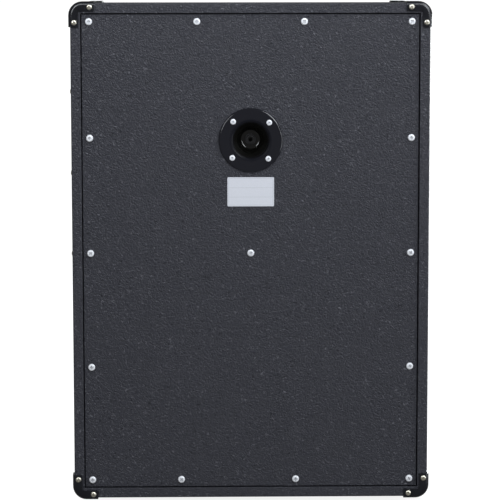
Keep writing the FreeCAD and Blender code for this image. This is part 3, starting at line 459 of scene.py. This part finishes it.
def cloth_ring_finish():
    """Resin-stiffened cloth of the spiders: a fine amber weave, with painted shade in the gaps between
    threads.
    """
    pitch = 0.9 * MILLIMETRE
    gap_shade_colour, thread_colour = (0.24, 0.13, 0.04), (0.56, 0.37, 0.15)
    look = Finish("spider_cloth", (0.50, 0.32, 0.12), 0.7)
    x, _, z = look.axes(look.place())

    def threads(value):
        angle = look.calc("MULTIPLY", value, math.pi / pitch)
        return look.calc("ABSOLUTE", look.calc("SINE", angle))

    mesh = look.calc("MAXIMUM", threads(x), threads(z))
    # The darker gaps between threads are painted shade
    look.feed(Base_Color=look.mix(mesh, gap_shade_colour, thread_colour))
    look.relief(mesh, 0.00015)
    return look.material


def winding_finish(driver_node):
    """Paper former at the front of the coil and close copper turns at its rear end, each turn painted
    lighter and darker across it as painted highlight and shade.
    """
    winding_length, turn_pitch = 0.014, 0.0005
    former_colour = (0.42, 0.28, 0.15)
    shaded_copper, lit_copper = (0.36, 0.14, 0.05), (0.74, 0.38, 0.18)
    low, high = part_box(driver_node)
    look = Finish("coil_winding", (0.66, 0.32, 0.15), 0.4)
    _, y, _ = look.axes(look.place(middle(driver_node)))
    wound = look.calc("GREATER_THAN", y, (high.y - low.y) / 2 - winding_length)
    turns = look.waves(y, turn_pitch)
    # Lighter and darker bands along the turns are painted highlight and painted shade on the round wire
    copper = look.mix(look.ramp(turns, -1.0, 1.0), shaded_copper, lit_copper)
    look.feed(Base_Color=look.mix(wound, former_colour, copper), Metallic=wound)
    look.relief(look.calc("MULTIPLY", turns, wound), 0.0001)
    return look.material


# Moulded and painted finishes: colour, roughness, size of the grain and its depth
corner_plastic = moulded_finish("corner_plastic", (0.0018, 0.0020, 0.0030), 0.24,
                                Specular_IOR_Level=0.30)
handle_plastic = moulded_finish("handle_plastic", (0.006, 0.006, 0.0066), 0.42, 0.0011, 0.00010,
                                Specular_IOR_Level=0.35)
jack_plastic = moulded_finish("jack_plastic", (0.0030, 0.0030, 0.0032), 0.3,
                              Specular_IOR_Level=0.35)
black_paint = moulded_finish("black_paint", (0.006, 0.006, 0.006), 0.7, 0.002, 0.00008,
                             Specular_IOR_Level=0.2)
hook_and_loop = moulded_finish("hook_and_loop", (0.012, 0.012, 0.013), 0.95, 0.0008, 0.0009,
                               Sheen_Weight=0.4)
foot_rubber = moulded_finish("foot_rubber", (0.016, 0.016, 0.016), 0.78, 0.0014, 0.00012)
gasket_board = moulded_finish("gasket_board", (0.08, 0.072, 0.062), 0.9, 0.0012, 0.0002)
basket_paint = moulded_finish("basket_paint", (0.014, 0.014, 0.015), 0.35, 0.0018, 0.00006)
ferrite = moulded_finish("ground_ferrite", (0.052, 0.052, 0.056), 0.55, 0.0010, 0.00008)
terminal_fibre = moulded_finish("terminal_fibre", (0.20, 0.09, 0.035), 0.7, 0.0012, 0.0001)
lead_jacket = moulded_finish("lead_jacket", (0.014, 0.014, 0.014), 0.55, 0.0016, 0.00006)
# Metals: clean colour, dull colour, roughness, and how metallic they look
bright_zinc = metal_finish("bright_zinc", (0.40, 0.41, 0.43), (0.34, 0.35, 0.37), 0.60, 0.55)
pale_zinc = metal_finish("pale_zinc", (0.52, 0.50, 0.43), (0.38, 0.36, 0.30), 0.34)
plain_steel = metal_finish("plain_steel", (0.52, 0.53, 0.55), (0.40, 0.40, 0.42), 0.34)
black_steel = metal_finish("blackened_steel", (0.06, 0.06, 0.065), (0.035, 0.035, 0.038), 0.38)
vinyl = vinyl_finish()
plywood = plywood_finish()
weave = weave_finish()
spider_cloth = cloth_ring_finish()


def dress(material, *dressed):
    """Gives CAD nodes one finish."""
    for node in dressed:
        data = nodes[node].data
        data.materials.clear()
        data.materials.append(material)


dress(vinyl, "shell_covering", "rear_panel_covering")
dress(plywood, "top_panel", "bottom_panel", "left_panel", "right_panel", "rear_panel",
      "centre_brace")
# The rear battens are black as black-painted wood and also as painted shade, so that the gap round the rear
# panel stays dark
dress(black_paint, "baffle_board", "rear_battens", "baffle_battens", "grille_frame")
dress(hook_and_loop, "grille_pads")
dress(handle_plastic, "handle_cup_left", "handle_cup_right", "handle_bar_left", "handle_bar_right")
dress(foot_rubber, "rubber_feet")
dress(plain_steel, "foot_washers", "baffle_screws", "speaker_bolts", "speaker_nuts")
dress(dish_finish(), "jack_dish")
dress(jack_plastic, "jack_socket", "jack_nut")
dress(black_steel, "jack_washer")
dress(label_finish(), "blank_label")
for driver in CONE_BODY:
    cone, cap, coil = driver + "_cone", driver + "_dust_cap", driver + "_voice_coil"
    dress(gasket_board, driver + "_gasket")
    dress(basket_paint, driver + "_basket")
    dress(paper_finish(driver + "_cone_paper", (0.035, 0.032, 0.029), cone), cone)
    dress(paper_finish(driver + "_cap_paper", (0.030, 0.028, 0.026), cap), cap)
    dress(winding_finish(coil), coil)
    dress(plain_steel, driver + "_top_plate", driver + "_back_plate")
    dress(ferrite, driver + "_magnet")
    dress(terminal_fibre, driver + "_terminal_board")


# Pieces
def add_piece(name, data, instead_of, body=CABINET):
    """Object at the origin that stands for a CAD node, and rides on a body unless it blends."""
    piece = new_object(name, data)
    if body:
        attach(piece, body)
    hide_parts(instead_of)
    return piece


def merged_copy(node):
    """Editable copy of a CAD node with its triangles joined up."""
    copy = bmesh.new()
    copy.from_mesh(nodes[node].data)
    bmesh.ops.remove_doubles(copy, verts=copy.verts, dist=1e-6)
    return copy


def taken_mesh(copy, name, material):
    """Mesh of an editable copy, with one finish and smooth shading."""
    mesh = bpy.data.meshes.new(name)
    copy.to_mesh(mesh)
    copy.free()
    mesh.materials.append(material)
    mesh.shade_smooth()
    return mesh


def islands(copy):
    """Groups of connected vertices, in order of place, so that all runs take them alike."""
    left = set(copy.verts)
    found = []
    while left:
        edge = [left.pop()]
        group = list(edge)
        while edge:
            vertex = edge.pop()
            for link in vertex.link_edges:
                other = link.other_vert(vertex)
                if other in left:
                    left.discard(other)
                    edge.append(other)
                    group.append(other)
        found.append(group)

    def lowest_corner(group):
        return [round(min(vertex.co[axis] for vertex in group), 4) for axis in range(3)]

    return sorted(found, key=lowest_corner)


def plain_mesh(piece):
    """Mesh that an object's modifiers give."""
    graph = bpy.context.evaluated_depsgraph_get()
    return bpy.data.meshes.new_from_object(piece.evaluated_get(graph))


# Screws: one head and shank made by nodes and set at every seat of a group
def screw_tree():
    """Geometry nodes for domed screws with a cross recess and a ridged shank."""
    tree = bpy.data.node_groups.new("domed_screws", "GeometryNodeTree")
    labels = ("Head Radius", "Head Height", "Recess Length", "Recess Width", "Recess Depth",
              "Shank Radius", "Shank Length", "Thread Pitch", "Thread Depth", "Crown Power")
    inputs = [(label, "Float") for label in labels]
    for label, kind in [("Seats", "Geometry"), *inputs, ("Finish", "Material")]:
        tree.interface.new_socket(label, in_out="INPUT", socket_type="NodeSocket" + kind)
    tree.interface.new_socket("Geometry", in_out="OUTPUT", socket_type="NodeSocketGeometry")

    def add(kind, settings=None, **values):
        return add_node(tree, kind, settings, **values)

    def sums(operation, first, second=0.0, third=0.0):
        return add_sum(tree, operation, first, second, third)

    def times(first, second):
        return sums("MULTIPLY", first, second)

    def vector(x=0.0, y=0.0, z=0.0):
        return add("ShaderNodeCombineXYZ", _0=x, _1=y, _2=z).outputs[0]

    def position_axes():
        return add("ShaderNodeSeparateXYZ", _0=add("GeometryNodeInputPosition").outputs[0]).outputs

    sizes = add("NodeGroupInput").outputs
    # Head: a ball whose lower half is pressed flat and whose upper half is drawn out to a crown
    ball = add("GeometryNodeMeshUVSphere", Segments=HEAD_SEGMENTS, Rings=HEAD_RINGS,
               Radius=1.0).outputs["Mesh"]
    x, y, z = position_axes()
    out = sums("SQRT", sums("MULTIPLY_ADD", x, x, times(y, y)))
    drop = sums("POWER", sums("MINIMUM", out, 1.0), sizes["Crown Power"])
    above = sums("GREATER_THAN", z, 0.0)
    dome = sums("SQRT", sums("SUBTRACT", 1.0, drop))
    crown = sums("MULTIPLY_ADD", above, dome, times(sums("MINIMUM", z, 0.0), HEAD_UNDERSIDE))
    head_place = vector(times(x, sizes["Head Radius"]), times(y, sizes["Head Radius"]),
                        times(crown, sizes["Head Height"]))
    cut = add("GeometryNodeSetPosition", Geometry=ball, Position=head_place).outputs[0]
    # Recess: two crossed blades, one a little deeper, cut one after the other
    lift = vector(z=sizes["Head Height"])
    arms = (sizes["Recess Length"], sizes["Recess Width"])
    for (long, wide), height in zip((arms, arms[::-1]), BLADE_HEIGHTS):
        blade = add("GeometryNodeMeshCube",
                    Size=vector(long, wide, times(sizes["Recess Depth"], height))).outputs["Mesh"]
        lifted = add("GeometryNodeTransform", Geometry=blade, Translation=lift).outputs[0]
        cut = add("GeometryNodeMeshBoolean", {"operation": "DIFFERENCE", "solver": "EXACT"},
                  Mesh_1=cut, Mesh_2=lifted).outputs["Mesh"]
    # Shank: a tapered bar with ridges for its thread
    rod = add("GeometryNodeMeshCylinder", Vertices=SHANK_SIDES, Side_Segments=SHANK_STEPS,
              Radius=1.0, Depth=1.0).outputs["Mesh"]
    x, y, z = position_axes()
    along = sums("SUBTRACT", z, 0.5)
    depth = times(along, sizes["Shank Length"])
    wave = sums("SINE", times(sums("DIVIDE", depth, sizes["Thread Pitch"]), FULL_TURN))
    groove = times(sums("ADD", wave, 1.0), times(sizes["Thread Depth"], 0.5))
    taper = sums("MINIMUM", 1.0, times(sums("ADD", along, TIP_REACH), TIP_SLOPE))
    radius = times(times(sums("SUBTRACT", 1.0, groove), taper), sizes["Shank Radius"])
    rod_place = vector(times(x, radius), times(y, radius), depth)
    shank = add("GeometryNodeSetPosition", Geometry=rod, Position=rod_place).outputs[0]
    screw = add("GeometryNodeJoinGeometry", Geometry=[cut, shank]).outputs[0]
    turn = add("GeometryNodeInputNamedAttribute", {"data_type": "FLOAT_VECTOR"},
               Name="turn").outputs["Attribute"]
    set_out = add("GeometryNodeInstanceOnPoints", Points=sizes["Seats"], Instance=screw,
                  Rotation=turn).outputs[0]
    real = add("GeometryNodeRealizeInstances", Geometry=set_out).outputs[0]
    dressed = add("GeometryNodeSetMaterial", Geometry=real, Material=sizes["Finish"]).outputs[0]
    add("NodeGroupOutput", Geometry=dressed)
    return tree


def set_inputs(modifier, tree, values):
    """Sets a modifier's inputs by their labels."""
    for item in tree.interface.items_tree:
        if item.in_out == "INPUT" and item.name in values:
            modifier[item.identifier] = values[item.name]


def facing(node, centre):
    """Direction that a screw's head faces, by its node and place."""
    if node == "foot_screws":
        return Vector((0, 0, -1))
    if node == "handle_screws":
        return Vector((math.copysign(1, centre.x), 0, 0))
    if node == "corner_screws":
        return Vector((0, math.copysign(1, centre.y), 0))
    return Vector((0, 1, 0))


def add_screws(node, tree, material):
    """Detailed screws in place of a group of plain ones."""
    (head_height, recess_length, recess_width, recess_depth, shank_radius,
     crown_power) = SCREW_SIZES[node]
    draw = random.Random(SCREW_SEED)
    copy = merged_copy(node)
    seats = []
    for group in islands(copy):
        spread = numpy.array([vertex.co for vertex in group])
        low, high = Vector(spread.min(axis=0)), Vector(spread.max(axis=0))
        centre = (low + high) / 2
        outward = facing(node, centre)
        size = high - low
        length = abs(size.dot(outward))
        radius = (size.x + size.y + size.z - length) / 4
        top = centre + outward * (length / 2)
        twist = Quaternion((0, 0, 1), draw.uniform(0, math.pi / 2))
        turn = outward.to_track_quat("Z", "Y") @ twist
        seats.append((top - outward * head_height * MILLIMETRE, turn.to_euler()))
    copy.free()
    points = bpy.data.meshes.new(node + "_seats")
    points.from_pydata([seat for seat, _ in seats], [], [])
    turns = points.attributes.new("turn", "FLOAT_VECTOR", "POINT")
    turns.data.foreach_set("vector", [value for _, turn in seats for value in turn])
    maker = new_object(node + "_maker", points)
    modifier = maker.modifiers.new("screws", "NODES")
    modifier.node_group = tree
    set_inputs(modifier, tree, {
        "Head Radius": radius, "Head Height": head_height * MILLIMETRE,
        "Recess Length": recess_length * MILLIMETRE, "Recess Width": recess_width * MILLIMETRE,
        "Recess Depth": recess_depth * MILLIMETRE, "Shank Radius": shank_radius * MILLIMETRE,
        "Shank Length": length - head_height * MILLIMETRE,
        "Thread Pitch": THREAD_PITCH * MILLIMETRE, "Thread Depth": THREAD_DEPTH,
        "Crown Power": crown_power, "Finish": material})
    mesh = plain_mesh(maker)
    bpy.data.objects.remove(maker)
    mesh.shade_smooth()
    mesh.set_sharp_from_angle(angle=math.radians(SHARP_EDGE))
    mesh.name = node + "_detailed"
    add_piece(node + "_detailed", mesh, node)


screws = screw_tree()
for node, material, slot in (("rear_panel_screws", bright_zinc, "zinc"),
                             ("jack_dish_screws", bright_zinc, "zinc"),
                             ("corner_screws", pale_zinc, "pale_zinc"),
                             ("handle_screws", pale_zinc, "pale_zinc"),
                             ("foot_screws", plain_steel, "steel")):
    add_screws(node, screws, material)


def add_softened(node, material):
    """Copy of a moulded CAD piece whose sharp edges are rounded a little."""
    copy = merged_copy(node)
    bmesh.ops.dissolve_limit(copy, angle_limit=math.radians(FLAT_EDGE), verts=copy.verts,
                             edges=copy.edges)
    sharp = [edge for edge in copy.edges if len(edge.link_faces) == 2
             and edge.calc_face_angle() > math.radians(ROUNDED_EDGE)]
    bmesh.ops.bevel(copy, geom=sharp, offset=ROUNDED_WIDTH * MILLIMETRE, segments=ROUNDED_STEPS,
                    profile=0.5, affect="EDGES", clamp_overlap=True)
    mesh = taken_mesh(copy, node + "_softened", material)
    mesh.set_sharp_from_angle(angle=math.radians(SHARP_EDGE))
    add_piece(node + "_softened", mesh, node)


for node in ("rear_corner_protectors", "front_corner_protectors"):
    add_softened(node, corner_plastic)


# Grille cloth
def cloth_dip(x, z, half_x, half_z):
    """How far the cloth sinks between the bars that it is stretched over, from 0 to 1."""
    bar = CLOTH_BAR_WIDTH * MILLIMETRE
    room = min(half_x - abs(x) - bar, half_z - abs(z) - bar, abs(z) - bar / 2)
    return min(max(room, 0.0) / (2 * bar), 1.0) ** CLOTH_SAG_POWER


def add_cloth():
    """One sheet over the grille frame, rounded at its front edges and turned back at its sides."""
    low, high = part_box("grille_cloth")
    inset = CLOTH_THICKNESS * MILLIMETRE / 2
    radius = CLOTH_EDGE_RADIUS * MILLIMETRE
    half_x = (high.x - low.x) / 2 - inset
    half_z = (high.z - low.z) / 2 - inset
    edge_x, edge_z = half_x - radius, half_z - radius
    centre = (low + high) / 2
    front, back = low.y + inset, high.y
    columns, rows = CLOTH_CELLS
    sheet = bmesh.new()
    # Front face
    grid = []
    for row in range(rows + 1):
        z = edge_z * (2 * row / rows - 1)
        line = []
        for column in range(columns + 1):
            x = edge_x * (2 * column / columns - 1)
            sag = CLOTH_SAG * MILLIMETRE * cloth_dip(x, z, half_x, half_z)
            line.append(sheet.verts.new((centre.x + x, front + sag, centre.z + z)))
        grid.append(line)
    for row in range(rows):
        for column in range(columns):
            sheet.faces.new((grid[row][column], grid[row][column + 1], grid[row + 1][column + 1],
                             grid[row + 1][column]))
    # Rings of points round the bend, and the last one at the back of the sides
    rim = [grid[0][column] for column in range(columns)]
    rim += [grid[row][columns] for row in range(rows)]
    rim += [grid[rows][column] for column in range(columns, 0, -1)]
    rim += [grid[row][0] for row in range(rows, 0, -1)]
    turns = [math.pi / 2 * step / CLOTH_BEND_STEPS for step in range(1, CLOTH_BEND_STEPS + 1)]
    steps = [(radius * math.sin(turn), front + radius * (1 - math.cos(turn))) for turn in turns]
    steps.append((radius, back))
    last = rim
    for out, y in steps:
        ring = []
        for start in rim:
            x, z = start.co.x - centre.x, start.co.z - centre.z
            if abs(abs(x) - edge_x) < 1e-7:
                x += math.copysign(out, x)
            if abs(abs(z) - edge_z) < 1e-7:
                z += math.copysign(out, z)
            ring.append(sheet.verts.new((centre.x + x, y, centre.z + z)))
        for index in range(len(ring)):
            other = (index + 1) % len(ring)
            sheet.faces.new((last[other], last[index], ring[index], ring[other]))
        last = ring
    bmesh.ops.recalc_face_normals(sheet, faces=sheet.faces)
    mesh = taken_mesh(sheet, "grille_cloth_sheet", weave)
    piece = add_piece("grille_cloth_sheet", mesh, "grille_cloth")
    thick = piece.modifiers.new("thickness", "SOLIDIFY")
    thick.thickness = CLOTH_THICKNESS * MILLIMETRE
    thick.offset = 0.0


add_cloth()


# Leads and the soft rings of the drivers
def route_curve(name, route, steps):
    """Smooth curve along a route, with a number of steps for each of its points."""
    curve = bpy.data.curves.new(name, "CURVE")
    curve.dimensions = "3D"
    curve.resolution_u = steps
    spline = curve.splines.new("NURBS")
    spline.points.add(len(route) - 1)
    for point, place in zip(spline.points, route):
        point.co = (*metres(*place), 1.0)
    spline.order_u = 3
    spline.use_endpoint_u = True
    return curve


def route_length(route):
    """Length of the smooth curve along a route."""
    holder = new_object("measure", route_curve("measure", route, MEASURE_STEPS))
    line = plain_mesh(holder)
    bpy.data.objects.remove(holder)
    ends = ([line.vertices[index].co for index in edge.vertices] for edge in line.edges)
    return sum((first - second).length for first, second in ends)


def add_lead(node, route):
    """Free lead inside the cabinet, on one smooth curve."""
    name = node + "_cord"
    curve = route_curve(name, route, LEAD_STEPS)
    curve.bevel_depth = LEAD_DIAMETER * MILLIMETRE / 2
    curve.bevel_resolution = LEAD_SIDE_STEPS
    curve.use_fill_caps = True
    curve.materials.append(lead_jacket)
    piece = add_piece(name, curve, node)
    route_length(route)


for node, route in LEAD_ROUTES.items():
    add_lead(node, route)


def add_flexing_ring(node, body, material, slot, inner, outer, lap):
    """Copy of a corrugated ring that follows the cabinet at its rim and the cone at its neck."""
    centre = middle(node)
    copy = merged_copy(node)
    # The inner edge is drawn in until it lies on the part that it is glued to
    reaches = {vertex: math.hypot(vertex.co.x - centre.x, vertex.co.z - centre.z)
               for vertex in copy.verts}
    edge = min(reaches.values())
    for vertex, reach in reaches.items():
        share = max(0.0, 1 - (reach - edge) / (LAP_REACH * MILLIMETRE))
        drawn_in = 1 - share * lap * MILLIMETRE / reach
        vertex.co.x = centre.x + (vertex.co.x - centre.x) * drawn_in
        vertex.co.z = centre.z + (vertex.co.z - centre.z) * drawn_in
    mesh = taken_mesh(copy, node + "_ring", material)
    mesh.set_sharp_from_angle(angle=math.radians(RING_SHARP_EDGE))
    piece = add_piece(node + "_ring", mesh, node, body=None)
    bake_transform(piece, CABINET, body, start=centre + metres(outer, 0, 0),
             end=centre + metres(inner, 0, 0))
    # The rolls run round the axis, so the share of each point follows its distance from it
    places = numpy.array([vertex.co for vertex in mesh.vertices]) - numpy.array(centre)
    away = numpy.hypot(places[:, 0], places[:, 2]) / MILLIMETRE
    share = numpy.clip((outer - away) / (outer - inner), 0, 1)
    eased = (share * share * (3 - 2 * share)).astype(numpy.float32)
    mesh.attributes["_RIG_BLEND"].data.foreach_set("value", eased)


for driver, body in CONE_BODY.items():
    surround, spider = driver + "_surround", driver + "_spider"
    edge_paper = paper_finish(driver + "_edge_paper", (0.032, 0.030, 0.027), surround)
    add_flexing_ring(surround, body, edge_paper, "cone_paper", *SURROUND_FLEX, SURROUND_LAP)
    add_flexing_ring(spider, body, spider_cloth, "spider_cloth", *SPIDER_FLEX, SPIDER_LAP)


# Stage, light and camera
def add_floor():
    """Wide plain pale floor that glows a little, so that it stays white under the part."""
    mesh = bpy.data.meshes.new("floor")
    corners = [(x * FLOOR_REACH, y * FLOOR_REACH, 0)
               for x, y in ((-1, -1), (1, -1), (1, 1), (-1, 1))]
    mesh.from_pydata(corners, [], [(0, 1, 2, 3)])
    look = Finish("pale_floor", (0.25, 0.25, 0.25), 0.9, Specular_IOR_Level=0.1,
                  Emission_Color=(*PLAIN, 1.0), Emission_Strength=FLOOR_GLOW)
    mottle = look.noise(look.place(), 0.4)
    look.feed(Base_Color=look.mix(mottle, (0.245, 0.245, 0.25), (0.255, 0.255, 0.255)))
    mesh.materials.append(look.material)
    floor = new_object("floor", mesh)
    floor.visible_glossy = False
    return floor


def add_world():
    """Even white surroundings, dimmer where they are mirrored, as a studio is behind its camera."""
    world = bpy.data.worlds.new("white_room")
    world.use_nodes = True
    tree = world.node_tree
    room = tree.nodes["Background"]
    mirrored = add_node(tree, "ShaderNodeBackground")
    for background, strength in ((room, ROOM_STRENGTH), (mirrored, MIRRORED_ROOM_STRENGTH)):
        background.inputs["Color"].default_value = (*PLAIN, 1.0)
        background.inputs["Strength"].default_value = strength
    path = add_node(tree, "ShaderNodeLightPath")
    either = add_node(tree, "ShaderNodeMixShader", _0=path.outputs["Is Glossy Ray"],
                      _1=room.outputs[0], _2=mirrored.outputs[0])
    tree.links.new(either.outputs[0], tree.nodes["World Output"].inputs["Surface"])
    bpy.context.scene.world = world


def light_group(name, members, state):
    """Group that keeps a light off its members, as flags do in a studio, or only on them."""
    group = bpy.data.collections.new(name)
    for index, member in enumerate(members):
        group.objects.link(member)
        group.collection_objects[index].light_linking.link_state = state
    return group


def add_softbox(name, place, target, size, power, colour, reached, mirrored=True):
    """Rectangular soft light aimed at a point, mirrored in glossy surfaces or not."""
    light = bpy.data.lights.new(name, "AREA")
    light.shape = "RECTANGLE"
    light.size, light.size_y = size
    light.energy = power
    light.color = colour
    lamp = new_object(name, light)
    lamp.location = place
    lamp.rotation_euler = (Vector(target) - Vector(place)).to_track_quat("-Z", "Y").to_euler()
    lamp.light_linking.receiver_collection = reached
    lamp.visible_glossy = mirrored


def add_camera():
    """Camera at the photograph's viewing angle."""
    turn, rise = math.radians(CAMERA_AZIMUTH), math.radians(CAMERA_ELEVATION)
    away = Vector((math.sin(turn) * math.cos(rise), -math.cos(turn) * math.cos(rise),
                   math.sin(rise)))
    data = bpy.data.cameras.new("camera")
    data.lens = CAMERA_LENS
    data.sensor_width = CAMERA_SENSOR
    camera = new_object("camera", data)
    camera.location = CAMERA_TARGET + away * CAMERA_DISTANCE
    level = (-away).to_track_quat("-Z", "Y")
    roll = Quaternion((0, 0, 1), math.radians(CAMERA_ROLL))
    camera.rotation_euler = (level @ roll).to_euler()
    bpy.context.scene.camera = camera


floor = add_floor()
covered = [nodes["shell_covering"], nodes["rear_panel_covering"]]
flagged = light_group("flagged_off", [floor], "EXCLUDE")
floor_only = light_group("floor_only", [floor], "INCLUDE")
vinyl_only = light_group("vinyl_only", covered, "INCLUDE")
fittings_only = light_group("fittings_only", [floor] + covered, "EXCLUDE")
dish_off = light_group("dish_off", [floor, nodes["jack_dish"]], "EXCLUDE")
add_world()
# The side lights reach the vinyl without their mirror images, which would whiten the top in views
# from the front
for part, reached, mirrored, share in (("glint", fittings_only, True, GLINT_SHARE),
                                       ("fill", vinyl_only, False, FILL_SHARE)):
    for side, place, size, power in SIDE_SOFTBOXES:
        add_softbox(side + "_" + part, place, SIDE_TARGET, size, power * share, COOL, reached,
                    mirrored)
for name, place, target, size, power, colour, reached in (
        ("corner_softbox", (-1.45, 1.0, 1.95), (-0.1, 0.15, 0.6), (1.2, 1.3), 52.0, COOL, flagged),
        ("right_wall", (-1.6, 0.6, 0.35), (0, 0.15, 0.4), (1.0, 0.9), 12.0, COOL, flagged),
        ("top_softbox", (0.1, 0.82, 1.22), (0, 0.15, 0.58), (1.2, 0.2), 11.0, COOL, dish_off),
        ("front_softbox", (-1.5, -2.4, 0.40), (0, -0.15, 0.36), (2.4, 0.6), 85.0, COOL, flagged),
        ("floor_wash", (0, 0.5, 4.5), (0, 0.5, 0), (5.0, 5.0), 150.0, PLAIN, floor_only)):
    add_softbox(name, place, target, size, power, colour, reached)
add_camera()
bpy.context.scene.view_settings.view_transform = "Standard"
